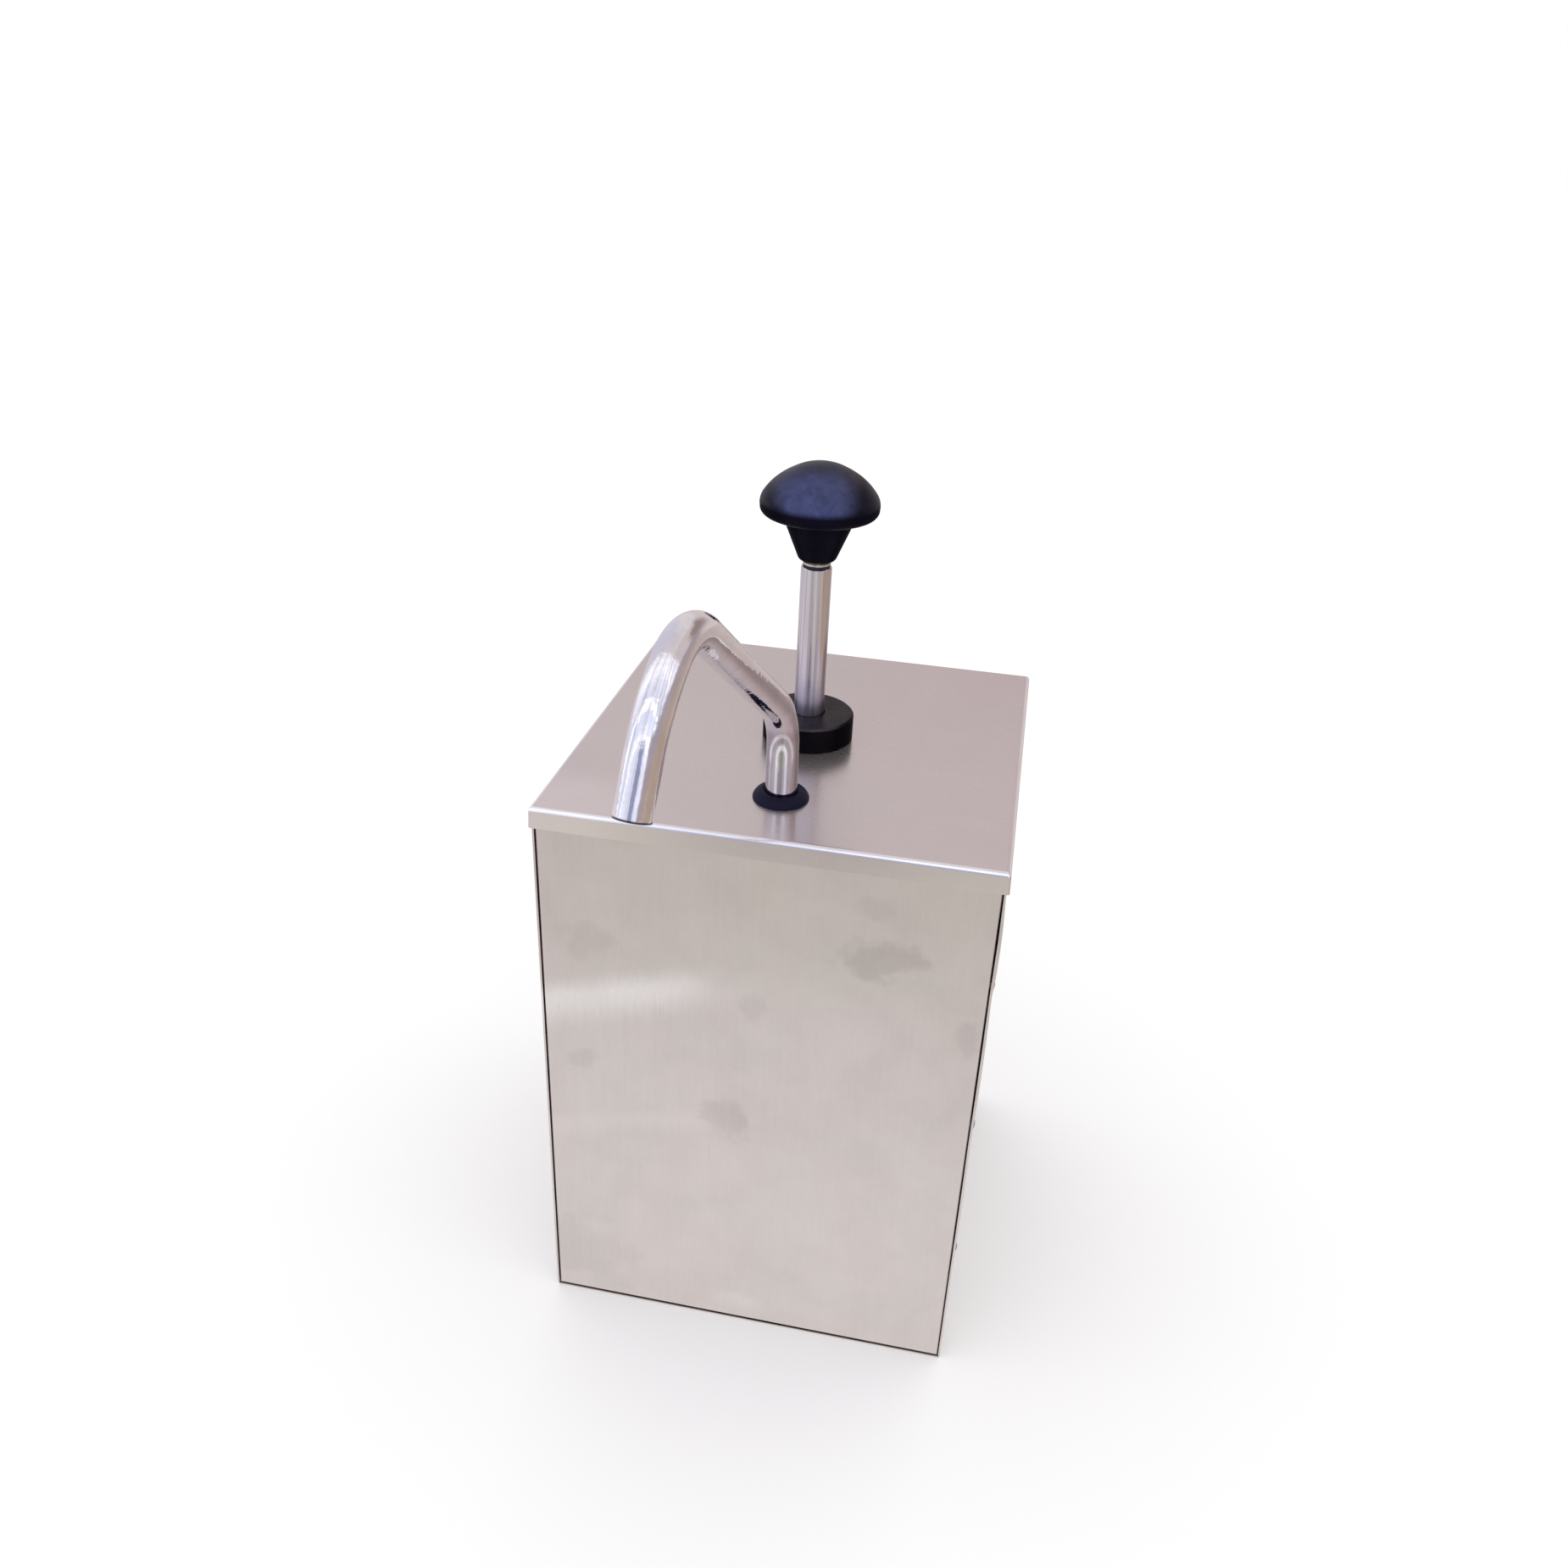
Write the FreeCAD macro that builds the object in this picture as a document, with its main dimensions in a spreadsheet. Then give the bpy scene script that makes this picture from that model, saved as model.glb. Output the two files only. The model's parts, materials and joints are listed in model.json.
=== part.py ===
import FreeCAD, Part
import math
import os
import Sketcher
from FreeCAD import Vector, Rotation, Placement

# Countertop condiment pump dispenser: a folded stainless box, a lift-out pot,
# a lift-off lid and a hand pump with a swivelling gooseneck spout.
# Origin: centre of the flat underside of the base plate. +Z up, front faces -Y.
# The pump axis is the Z axis; the spout axis is parallel to it, in front of it.
# Heights are drawn from a plane benchZ below the base plate; the last section
# lowers every piece by benchZ so that the plate rests on z = 0.

doc = FreeCAD.newDocument("condiment_pump_dispenser")
sheet = doc.addObject("Spreadsheet::Sheet", "Dims")

# alias, value in mm or degrees, note
DIMS = [
    # lid and box
    ("lidTop", 264.0, "top face of the lid"),
    ("lidHalf", 92.5, "half the side of the lid"),
    ("lidSheet", 0.8, "lid sheet thickness"),
    ("skirtDrop", 9.0, "lid skirt height"),
    ("skirtTaper", 2.2, "lean of the skirt, degrees"),
    ("lidBend", 2.0, "outer bend radius round the lid"),
    ("boxHalf", 91.2, "half the side of the box"),
    ("sheetT", 0.8, "box sheet thickness"),
    ("panelGap", 0.35, "fitting gap between front panel and side walls"),
    ("benchZ", 2.2, "drop from the drawing frame to the bench frame"),
    ("footGap", 3.6, "bottom edge of the walls"),
    ("ledge", 12.0, "turned-in ledge width"),
    ("wallTop", 260.4, "top of the box walls"),
    ("tabDepth", 14.0, "folded tab of the front panel"),
    ("boxBend", 1.2, "outer bend radius of the front panel"),
    ("panFloor", 2.2, "underside of the base plate"),
    ("panLip", 14.0, "base pan lip height"),
    # rivets
    ("rivetY", 84.5, "front rivet rows in front of the pump axis"),
    ("rivetTop", 209.0, "highest rivet"),
    ("rivetStep", 71.0, "rivet pitch"),
    ("baseRivetZ", 11.0, "height of the rivets through the base pan"),
    ("baseRivetFront", 50.0, "front side base rivet in front of the pump axis"),
    ("baseRivetBack", 60.0, "rear side base rivet behind the pump axis"),
    ("backRivetX", 60.0, "back wall rivets to each side of the middle"),
    ("rivetHole", 1.65, "rivet hole radius"),
    ("rivetR", 1.6, "rivet shank radius"),
    ("rivetHead", 2.4, "rivet head radius"),
    ("rivetDome", 0.85, "rivet head height"),
    # pot
    ("potRimTop", 261.2, "top of the pot rim"),
    ("potSheet", 0.8, "pot sheet thickness"),
    ("potRimHalf", 86.0, "half the side of the rim"),
    ("potRimCorner", 30.0, "rim corner radius"),
    ("potHalf", 77.0, "half the side of the pot mouth, outside"),
    ("potCorner", 22.0, "corner radius of the pot"),
    ("potFloor", 26.0, "underside of the pot"),
    ("potDraft", 1.0, "draft of the pot walls, degrees"),
    ("potHeel", 11.0, "radius round the pot floor"),
    # pump head and lid fittings
    ("spoutY", 58.0, "spout axis in front of the pump axis"),
    ("collarR", 19.3, "lock collar radius"),
    ("collarH", 11.2, "lock collar height"),
    ("collarBore", 6.8, "hole in the collar round the rod"),
    ("neckR", 14.95, "threaded neck radius"),
    ("neckTop", 271.9, "top of the neck"),
    ("headFlange", 22.0, "head flange radius"),
    ("headFlangeLow", 257.0, "underside of the head flange"),
    ("headLow", 238.0, "bottom of the head"),
    ("grommetR", 11.2, "grommet radius"),
    ("grommetH", 3.6, "grommet height above the lid"),
    # rod, piston, cylinder, spring
    ("rodR", 6.35, "radius of the rod and the tubes"),
    ("rodTop", 340.0, "shoulder of the rod"),
    ("rodLow", 164.0, "step onto the piston"),
    ("studR", 4.0, "threaded stud radius"),
    ("boreR", 13.0, "pump bore radius"),
    ("cylR", 14.0, "cylinder outer radius"),
    ("cylLow", 62.0, "bottom of the cylinder"),
    ("cylTop", 254.0, "top of the cylinder"),
    ("pistonLow", 150.0, "underside of the piston at rest"),
    ("pistonR", 12.92, "piston radius"),
    ("springR", 10.6, "spring coil radius"),
    ("springWire", 0.9, "spring wire radius"),
    ("springPitch", 10.0, "spring pitch"),
    # knob
    ("knobLow", 343.0, "bottom of the knob neck"),
    ("knobNeckR", 7.9, "radius of the neck at the bottom"),
    ("knobConeR", 12.9, "radius of the neck under the rim"),
    ("knobConeTop", 356.0, "top of the neck cone"),
    ("knobRimR", 24.0, "radius of the rim"),
    ("knobRimZ", 365.7, "height of the widest point"),
    ("knobTop", 382.1, "top of the knob"),
    # valve body and riser
    ("bossR", 18.0, "central boss radius"),
    ("bossLow", 40.0, "bottom of the valve body"),
    ("bossTop", 76.0, "top of the central boss"),
    ("chamberR", 8.0, "inlet chamber radius"),
    ("seatTop", 48.0, "inlet seat height"),
    ("inletSeatR", 4.4, "inlet seat bore radius"),
    ("inletBallR", 5.5, "inlet ball radius"),
    ("inletBallZ", 51.31, "inlet ball centre on its seat"),
    ("frontBossR", 10.0, "riser boss radius"),
    ("frontBossTop", 80.0, "top of the riser boss"),
    ("passageZ", 54.6, "height of the cross passage"),
    ("passageR", 4.0, "cross passage radius"),
    ("outSeatZ", 60.0, "outlet seat height"),
    ("outSeatR", 3.4, "outlet seat bore radius"),
    ("outBallR", 4.6, "outlet ball radius"),
    ("outBallZ", 63.11, "outlet ball centre on its seat"),
    ("outChamberR", 5.4, "outlet chamber radius"),
    ("riserLow", 74.0, "bottom of the riser tube"),
    ("riserTop", 210.0, "top of the riser tube"),
    ("tubeWall", 1.0, "tube wall"),
    ("socketLow", 200.0, "bottom of the swivel socket"),
    ("socketTop", 240.0, "top of the swivel socket"),
    ("socketR", 11.0, "swivel socket radius"),
    # spout
    ("spoutLow", 214.3, "lower end of the spout tube"),
    ("spoutRise", 285.6, "start of the first bend"),
    ("bendOne", 30.5, "radius of the first bend"),
    ("leanOne", 50.7, "turn of the first bend, degrees"),
    ("legOne", 77.9, "straight leg"),
    ("bendTwo", 17.6, "radius of the crest bend"),
    ("dropTwo", 41.6, "slope after the crest bend, degrees"),
    ("bendThree", 69.6, "radius of the falling bend"),
    ("dropThree", 66.7, "final slope, degrees"),
    ("legTwo", 19.8, "straight end"),
    ("spoutTurn", 258.4, "direction the spout points at rest, degrees from +X"),
]
for row, (alias, value, note) in enumerate(DIMS, start=1):
    sheet.set("A%d" % row, note)
    sheet.set("B%d" % row, repr(float(value)))
    sheet.setAlias("B%d" % row, alias)
doc.recompute()


# ---------------------------------------------------------------- sizes with formulas

ARITHMETIC = {
    "+": lambda left, right: left + right,
    "-": lambda left, right: left - right,
    "*": lambda left, right: left * right,
    "/": lambda left, right: left / right,
}


class Size:
    """A length or angle that carries its value and its formula on the sheet."""

    def __init__(self, value, formula):
        self.value = float(value)
        self.formula = formula

    def __add__(self, other):
        return combine(self, "+", other)

    def __radd__(self, other):
        return combine(other, "+", self)

    def __sub__(self, other):
        return combine(self, "-", other)

    def __rsub__(self, other):
        return combine(other, "-", self)

    def __mul__(self, other):
        return combine(self, "*", other)

    def __rmul__(self, other):
        return combine(other, "*", self)

    def __truediv__(self, other):
        return combine(self, "/", other)

    def __neg__(self):
        return Size(-self.value, "(-1 * %s)" % self.formula)


def as_size(number):
    return number if isinstance(number, Size) else Size(number, repr(float(number)))


def combine(left, sign, right):
    left, right = as_size(left), as_size(right)
    value = ARITHMETIC[sign](left.value, right.value)
    return Size(value, "(%s %s %s)" % (left.formula, sign, right.formula))


def sin_of(angle):
    return Size(math.sin(math.radians(angle.value)), "sin(%s * 1 deg)" % angle.formula)


def cos_of(angle):
    return Size(math.cos(math.radians(angle.value)), "cos(%s * 1 deg)" % angle.formula)


class Sizes:
    """The sheet's aliases as attributes, each one a Size."""


dim = Sizes()
for alias, value, note in DIMS:
    setattr(dim, alias, Size(value, "Dims." + alias))


# ---------------------------------------------------------------- pieces and placement

pieces = []    # every object that is written out, under its Label


def new_piece(kind, label):
    obj = doc.addObject(kind, label)
    obj.Label = label
    pieces.append(obj)
    return obj


def new_body(label):
    return new_piece("PartDesign::Body", label)


def group(label, shapes):
    """Several separate solids of one kind, kept as one piece."""
    new_piece("Part::Feature", label).Shape = Part.makeCompound(shapes)


def bind(obj, prop, size):
    size = as_size(size)
    setattr(obj, prop, size.value)
    obj.setExpression(prop, size.formula)


def place(obj, x=0, y=0, z=0, rotation=Rotation()):
    sizes = [as_size(coordinate) for coordinate in (x, y, z)]
    obj.Placement = Placement(Vector(*[size.value for size in sizes]), rotation)
    for axis, size in zip("xyz", sizes):
        if size.value:
            obj.setExpression("Placement.Base." + axis, size.formula)


def place_at_spout(obj):
    place(obj, y=-dim.spoutY)


# ---------------------------------------------------------------- sketches

def new_sketch(body, name, role="XY_Plane", lift=None):
    """Sketch on an origin plane of its body, lifted along the plane's normal.

    Sketch axes: XY_Plane (X, Y), normal +Z; XZ_Plane (X, Z), normal -Y;
    YZ_Plane (Y, Z), normal +X.
    """
    sketch = body.newObject("Sketcher::SketchObject", name)
    plane = next(item for item in body.Origin.OriginFeatures if item.Role == role)
    sketch.AttachmentSupport = [(plane, "")]
    sketch.MapMode = "FlatFace"
    if lift is not None:
        lift = as_size(lift)
        sketch.AttachmentOffset = Placement(Vector(0, 0, lift.value), Rotation())
        sketch.setExpression("AttachmentOffset.Base.z", lift.formula)
    return sketch


def name_constraint(sketch, constraint, name, formula):
    sketch.renameConstraint(sketch.addConstraint(constraint), name)
    sketch.setExpression("Constraints." + name, formula)


def fix_point(sketch, geo, pos, x, y, tag):
    """Hold one sketch point at (x, y) with driving distances from the origin."""
    for axis, other_axis, size in (("X", -2, as_size(x)), ("Y", -1, as_size(y))):
        name = "%s_%s" % (tag, axis.lower())
        kind = "Distance" + axis
        if abs(size.value) < 1e-9:
            sketch.addConstraint(Sketcher.Constraint("PointOnObject", geo, pos, other_axis))
        elif size.value > 0:
            constraint = Sketcher.Constraint(kind, -1, 1, geo, pos, size.value)
            name_constraint(sketch, constraint, name, size.formula)
        else:
            constraint = Sketcher.Constraint(kind, geo, pos, -1, 1, -size.value)
            name_constraint(sketch, constraint, name, "-1 * %s" % size.formula)


def add_arc(sketch, start, end, radius, side):
    chord = end.sub(start)
    half = chord.Length / 2.0
    sag = radius - math.sqrt(max(radius ** 2 - half ** 2, 0.0))
    normal = Vector(-chord.y, chord.x, 0)
    normal.normalize()
    middle = start.add(end).multiply(0.5).add(normal.multiply(sag * side))
    arc = Part.Arc(start, middle, end) if side < 0 else Part.Arc(end, middle, start)
    sketch.addGeometry(arc, False)


def outline(sketch, points, closed=True, tag="p"):
    """Chain of lines and arcs through driven points.

    A point is (x, y) or (x, y, radius, side): the piece that leaves that point
    is then an arc of that radius, bulging to the left (side 1) or right (-1)
    of the direction of travel.
    """
    first = sketch.GeometryCount
    count = len(points) if closed else len(points) - 1
    corners = [Vector(as_size(p[0]).value, as_size(p[1]).value, 0) for p in points]
    for i in range(count):
        start, end = corners[i], corners[(i + 1) % len(points)]
        if len(points[i]) == 4:
            add_arc(sketch, start, end, as_size(points[i][2]).value, points[i][3])
        else:
            sketch.addGeometry(Part.LineSegment(start, end), False)

    def ends(i):
        """Start and end point numbers of piece i in travel order: arcs run anticlockwise."""
        return (2, 1) if len(points[i]) == 4 and points[i][3] > 0 else (1, 2)

    for i in range(count if closed else count - 1):
        j = (i + 1) % count
        sketch.addConstraint(
            Sketcher.Constraint("Coincident", first + i, ends(i)[1], first + j, ends(j)[0]))
    for i in range(count):
        name = "%s%d" % (tag, i)
        fix_point(sketch, first + i, ends(i)[0], points[i][0], points[i][1], name)
        if len(points[i]) == 4:
            radius = as_size(points[i][2])
            constraint = Sketcher.Constraint("Radius", first + i, radius.value)
            name_constraint(sketch, constraint, name + "_r", radius.formula)
    if not closed:
        x, y = points[-1]
        fix_point(sketch, first + count - 1, ends(count - 1)[1], x, y, tag + "_end")


def circle(sketch, x, y, radius, tag):
    x, y, radius = as_size(x), as_size(y), as_size(radius)
    shape = Part.Circle(Vector(x.value, y.value, 0), Vector(0, 0, 1), radius.value)
    geo = sketch.addGeometry(shape, False)
    if abs(x.value) < 1e-9 and abs(y.value) < 1e-9:
        sketch.addConstraint(Sketcher.Constraint("Coincident", geo, 3, -1, 1))
    else:
        fix_point(sketch, geo, 3, x, y, tag)
    constraint = Sketcher.Constraint("Radius", geo, radius.value)
    name_constraint(sketch, constraint, tag + "_rad", radius.formula)


def plan(body, name, lift, *loops):
    """Horizontal sketch at height lift with one closed outline per loop."""
    sketch = new_sketch(body, name, lift=lift)
    for k, points in enumerate(loops):
        outline(sketch, points, tag="loop%d_" % k)
    return sketch


def box_points(half_width, front, back):
    return [(-half_width, front), (half_width, front), (half_width, back), (-half_width, back)]


def channel_points(outer, inner, front):
    """Plan of two side walls and a back wall, open at the front."""
    return [(-outer, front), (-inner, front), (-inner, inner), (inner, inner),
            (inner, front), (outer, front), (outer, outer), (-outer, outer)]


def rounded_square(half, corner):
    """Eight driven points of a square with round corners, anticlockwise."""
    flat = half - corner
    return [(-flat, -half), (flat, -half, corner, -1), (half, -flat), (half, flat, corner, -1),
            (flat, half), (-flat, half, corner, -1), (-half, flat), (-half, -flat, corner, -1)]


def hexagon(corner_r):
    angles = [math.radians(60 * k) for k in range(6)]
    return [(corner_r * math.cos(angle), corner_r * math.sin(angle)) for angle in angles]


# ---------------------------------------------------------------- features

def pad(body, name, sketch, length, reverse=False, taper=None):
    feature = body.newObject("PartDesign::Pad", name)
    feature.Profile = sketch
    bind(feature, "Length", length)
    feature.Reversed = reverse
    if taper is not None:
        bind(feature, "TaperAngle", taper)
    body.Tip = feature
    doc.recompute()


def pocket(body, name, sketch, length=None, reverse=False, taper=None):
    """Cut against the sketch normal; with no length, through everything both ways."""
    before = body.Shape.Volume
    feature = body.newObject("PartDesign::Pocket", name)
    feature.Profile = sketch
    if length is None:
        feature.Type = "ThroughAll"
        feature.Midplane = True
    else:
        bind(feature, "Length", length)
    feature.Reversed = reverse
    if taper is not None:
        bind(feature, "TaperAngle", taper)
    body.Tip = feature
    doc.recompute()
    if not body.Shape.Volume < before - 1e-3:
        raise RuntimeError("pocket %s cut nothing" % name)


def bore(body, name, sketch_name, start, centre_y, radius, depth, role="XY_Plane",
         reverse=False):
    """Round pocket centred on the sketch's vertical axis."""
    sketch = new_sketch(body, sketch_name, role, lift=start)
    circle(sketch, 0, centre_y, radius, name)
    pocket(body, name, sketch, depth, reverse=reverse)


def fillet(body, name, test, radius):
    """Round every edge of the body that passes the test."""
    names = ["Edge%d" % i for i, edge in enumerate(body.Shape.Edges, start=1) if test(edge)]
    if not names:
        raise RuntimeError("no edges for " + name)
    base = body.Tip
    feature = body.newObject("PartDesign::Fillet", name)
    feature.Base = (base, names)
    bind(feature, "Radius", radius)
    body.Tip = feature
    doc.recompute()


def on_plane(axis, size):
    value = as_size(size).value

    def test(edge):
        points = [vertex.Point for vertex in edge.Vertexes]
        return len(points) > 0 and all(abs(getattr(p, axis) - value) < 1e-4 for p in points)
    return test


def vertical(edge):
    """True for upright edges, the leaning corners of a short tapered block included."""
    if len(edge.Vertexes) != 2:
        return False
    low, high = edge.Vertexes[0].Point, edge.Vertexes[1].Point
    return abs(low.x - high.x) < 0.5 and abs(low.y - high.y) < 0.5 and abs(low.z - high.z) > 0.6


def turned(label, points, at_spout=False, stem=None):
    """A piece turned on a lathe: closed profile of (radius, height) points."""
    stem = stem or label
    body = new_body(label)
    sketch = new_sketch(body, stem + "_profile", "XZ_Plane")
    outline(sketch, points)
    doc.recompute()
    feature = body.newObject("PartDesign::Revolution", stem + "_turn")
    feature.Profile = sketch
    feature.ReferenceAxis = (sketch, ["V_Axis"])
    feature.Angle = 360.0
    body.Tip = feature
    doc.recompute()
    if at_spout:
        place_at_spout(body)
    return body


def seal_groove(face_r, root_r, z, travel):
    """Ring groove centred on height z; travel is 1 where the profile climbs, -1 where it falls."""
    half_height = 1.3
    enter, leave = z - travel * half_height, z + travel * half_height
    return [(face_r, enter), (root_r, enter), (root_r, leave), (face_r, leave)]


def ring(label, ring_r, section_r, z, y=0):
    torus = new_piece("Part::Torus", label)
    bind(torus, "Radius1", ring_r)
    bind(torus, "Radius2", section_r)
    place(torus, y=y, z=z)


def ball(label, radius, z, y=0):
    sphere = new_piece("Part::Sphere", label)
    bind(sphere, "Radius", radius)
    place(sphere, y=y, z=z)


# ---------------------------------------------------------------- shared by the box pieces

half_box, sheet_t, foot = dim.boxHalf, dim.sheetT, dim.footGap
wall_height = dim.wallTop - foot
panel_half = half_box - sheet_t - dim.panelGap
tab_back = -(half_box - dim.tabDepth)
clear_of_tab = -(half_box - dim.tabDepth - 0.6)    # where pieces behind the tabs start
rivet_levels = [dim.rivetTop - dim.rivetStep * k for k in range(3)]
side_base_ys = [-dim.baseRivetFront, dim.baseRivetBack]
back_xs = [-dim.backRivetX, dim.backRivetX]


def drill_sides(body, stem, tab_row, base_row):
    """Rivet holes through both side walls."""
    places = [(-dim.rivetY, z) for z in rivet_levels] if tab_row else []
    if base_row:
        places += [(y, dim.baseRivetZ) for y in side_base_ys]
    sketch = new_sketch(body, stem + "_holes", "YZ_Plane")
    for k, (y, z) in enumerate(places):
        circle(sketch, y, z, dim.rivetHole, "hole%d" % k)
    pocket(body, stem + "_drill", sketch)


def drill_back(body, stem):
    """Rivet holes through the back wall, cut outwards from just inside it."""
    sketch = new_sketch(body, stem + "_holes", "XZ_Plane", lift=-(half_box - 5))
    for k, x in enumerate(back_xs):
        circle(sketch, x, dim.baseRivetZ, dim.rivetHole, "hole%d" % k)
    pocket(body, stem + "_drill", sketch, 12.0)


def beyond(point_size):
    """True where a coordinate reaches the outer face of the box."""
    return point_size > half_box.value - 0.01


# ---------------------------------------------------------------- side walls and back

wrap = new_body("housing_wrap")
sketch = plan(wrap, "wrap_plan", foot, channel_points(half_box, half_box - sheet_t, -half_box))
pad(wrap, "wrap_walls", sketch, wall_height)
sketch = plan(wrap, "wrap_ledge_plan", dim.wallTop - sheet_t,
              channel_points(half_box, half_box - dim.ledge, clear_of_tab))
pad(wrap, "wrap_ledge", sketch, sheet_t)
drill_sides(wrap, "wrap_side", tab_row=True, base_row=True)
drill_back(wrap, "wrap_back")
fillet(wrap, "wrap_back_bends",
       lambda edge: vertical(edge) and all(
           beyond(v.Point.y) and beyond(abs(v.Point.x)) for v in edge.Vertexes),
       1.6)

# ---------------------------------------------------------------- front panel

# A sheet with side tabs folded back, a ledge at the top and a fold at the foot.
panel = new_body("front_panel")
tab_inner = panel_half - sheet_t
sheet_back = -(half_box - sheet_t)
sketch = plan(panel, "panel_plan", foot, [
    (-panel_half, -half_box), (panel_half, -half_box), (panel_half, tab_back),
    (tab_inner, tab_back), (tab_inner, sheet_back), (-tab_inner, sheet_back),
    (-tab_inner, tab_back), (-panel_half, tab_back)])
pad(panel, "panel_sheet", sketch, wall_height)
ledge_plan = box_points(panel_half, -half_box, -(half_box - dim.ledge))
sketch = plan(panel, "panel_top_plan", dim.wallTop - sheet_t, ledge_plan)
pad(panel, "panel_top_ledge", sketch, sheet_t)
sketch = plan(panel, "panel_foot_plan", foot, ledge_plan)
pad(panel, "panel_foot_fold", sketch, sheet_t)
drill_sides(panel, "panel", tab_row=True, base_row=False)
fillet(panel, "panel_bends", on_plane("y", -half_box), dim.boxBend)

# ---------------------------------------------------------------- base pan

# The plate closes the box from below, its edge flush with the walls and a thin
# shadow gap under them; its side and back lips are riveted to the walls.
pan = new_body("base_pan")
sketch = plan(pan, "pan_plan", dim.panFloor, box_points(half_box, -half_box, half_box))
pad(pan, "pan_plate", sketch, sheet_t)
lip_gap = 0.05
lip_half = half_box - sheet_t - lip_gap
sketch = plan(pan, "pan_lip_plan", dim.panFloor,
              channel_points(lip_half, lip_half - sheet_t, clear_of_tab))
pad(pan, "pan_lip", sketch, dim.panLip)
front_lip_half = panel_half - sheet_t - 0.4
front_lip_y = -(half_box - dim.ledge - 0.3)
sketch = plan(pan, "pan_front_lip_plan", dim.panFloor,
              box_points(front_lip_half, front_lip_y, front_lip_y + sheet_t))
pad(pan, "pan_front_lip", sketch, dim.panLip)
fillet(pan, "pan_plate_corners",
       lambda edge: vertical(edge) and all(
           beyond(abs(v.Point.x)) and beyond(abs(v.Point.y)) for v in edge.Vertexes),
       1.2)
drill_sides(pan, "pan_side", tab_row=False, base_row=True)
drill_back(pan, "pan_back")


# ---------------------------------------------------------------- rivets

def rivet(grip, x, y, z, rotation):
    """Blind rivet along its own +Z: head outside at z > 0, set tail beyond the grip."""
    shank, head, dome = dim.rivetR.value, dim.rivetHead.value, dim.rivetDome.value
    rim = 0.15
    # (radius, height)
    profile = [(0, -grip - 1.6), (2.2, -grip - 1.6), (2.5, -grip - 0.8), (2.3, -grip),
               (shank, -grip), (shank, 0), (head, 0), (head, rim)]
    points = [Vector(radius, 0, height) for radius, height in profile]
    top = Vector(0, 0, dome)
    # the crown is a sphere centred on the rivet's own axis
    crown_r = (head ** 2 + (dome - rim) ** 2) / (2 * (dome - rim))
    middle_r = head * 0.6
    middle = Vector(middle_r, 0, dome - crown_r + (crown_r ** 2 - middle_r ** 2) ** 0.5)
    edges = [Part.makeLine(start, end) for start, end in zip(points, points[1:])]
    edges.append(Part.Arc(points[-1], middle, top).toShape())
    edges.append(Part.makeLine(top, points[0]))
    solid = Part.Face(Part.Wire(edges)).revolve(Vector(0, 0, 0), Vector(0, 0, 1), 360)
    solid.Placement = Placement(Vector(x, y, z), rotation)
    return solid


rivets = []
tab_grip = sheet_t.value * 2 + dim.panelGap.value
lip_grip = sheet_t.value * 2 + lip_gap
base_z = dim.baseRivetZ.value
for side in (-1, 1):
    outward = Rotation(Vector(0, 1, 0), 90 * side)
    side_x = side * half_box.value
    for z in rivet_levels:
        rivets.append(rivet(tab_grip, side_x, -dim.rivetY.value, z.value, outward))
    for y in side_base_ys:
        rivets.append(rivet(lip_grip, side_x, y.value, base_z, outward))
backward = Rotation(Vector(1, 0, 0), -90)
for x in back_xs:
    rivets.append(rivet(lip_grip, x.value, half_box.value, base_z, backward))
group("shell_rivets", rivets)

# ---------------------------------------------------------------- pot

pot = new_body("pot")
rim_top, pot_t = dim.potRimTop, dim.potSheet
pot_depth = rim_top - dim.potFloor
sketch = plan(pot, "pot_mouth", rim_top, rounded_square(dim.potHalf, dim.potCorner))
pad(pot, "pot_outside", sketch, pot_depth, reverse=True, taper=-dim.potDraft)
sketch = plan(pot, "pot_inner_mouth", rim_top,
              rounded_square(dim.potHalf - pot_t, dim.potCorner - pot_t))
pocket(pot, "pot_inside", sketch, pot_depth - pot_t, taper=-dim.potDraft)
fillet(pot, "pot_inner_heel", on_plane("z", dim.potFloor + pot_t), dim.potHeel - pot_t)
fillet(pot, "pot_heel", on_plane("z", dim.potFloor), dim.potHeel)
rim_overlap = 0.4    # the rim reaches this far into the wall, to join it
rim_outer = rounded_square(dim.potRimHalf, dim.potRimCorner)
sketch = plan(pot, "pot_rim_plan", rim_top - pot_t, rim_outer,
              rounded_square(dim.potHalf - rim_overlap, dim.potCorner - rim_overlap))
pad(pot, "pot_rim", sketch, pot_t)

# ---------------------------------------------------------------- lid and its gasket

lid_top, lid_t = dim.lidTop, dim.lidSheet
lid_under = lid_top - lid_t
lid = new_body("lid")
sketch = plan(lid, "lid_plan", lid_top, box_points(dim.lidHalf, -dim.lidHalf, dim.lidHalf))
pad(lid, "lid_block", sketch, dim.skirtDrop, reverse=True, taper=-dim.skirtTaper)
fillet(lid, "lid_corners", vertical, 1.1)
fillet(lid, "lid_bend", on_plane("z", lid_top), dim.lidBend)
lid_inner = dim.lidHalf - lid_t
sketch = plan(lid, "lid_inner_plan", lid_under, box_points(lid_inner, -lid_inner, lid_inner))
pocket(lid, "lid_inside", sketch, dim.skirtDrop, taper=-dim.skirtTaper)
on_lid_under = on_plane("z", lid_under)
fillet(lid, "lid_inner_bend",
       lambda edge: on_lid_under(edge) and len(edge.Vertexes) == 2, dim.lidBend - lid_t)
sketch = new_sketch(lid, "lid_holes", lift=lid_top + 1)
circle(sketch, 0, 0, 15.2, "neck")
circle(sketch, 0, -dim.spoutY, 8.5, "spout")
pocket(lid, "lid_drill", sketch, 4.0)

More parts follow.
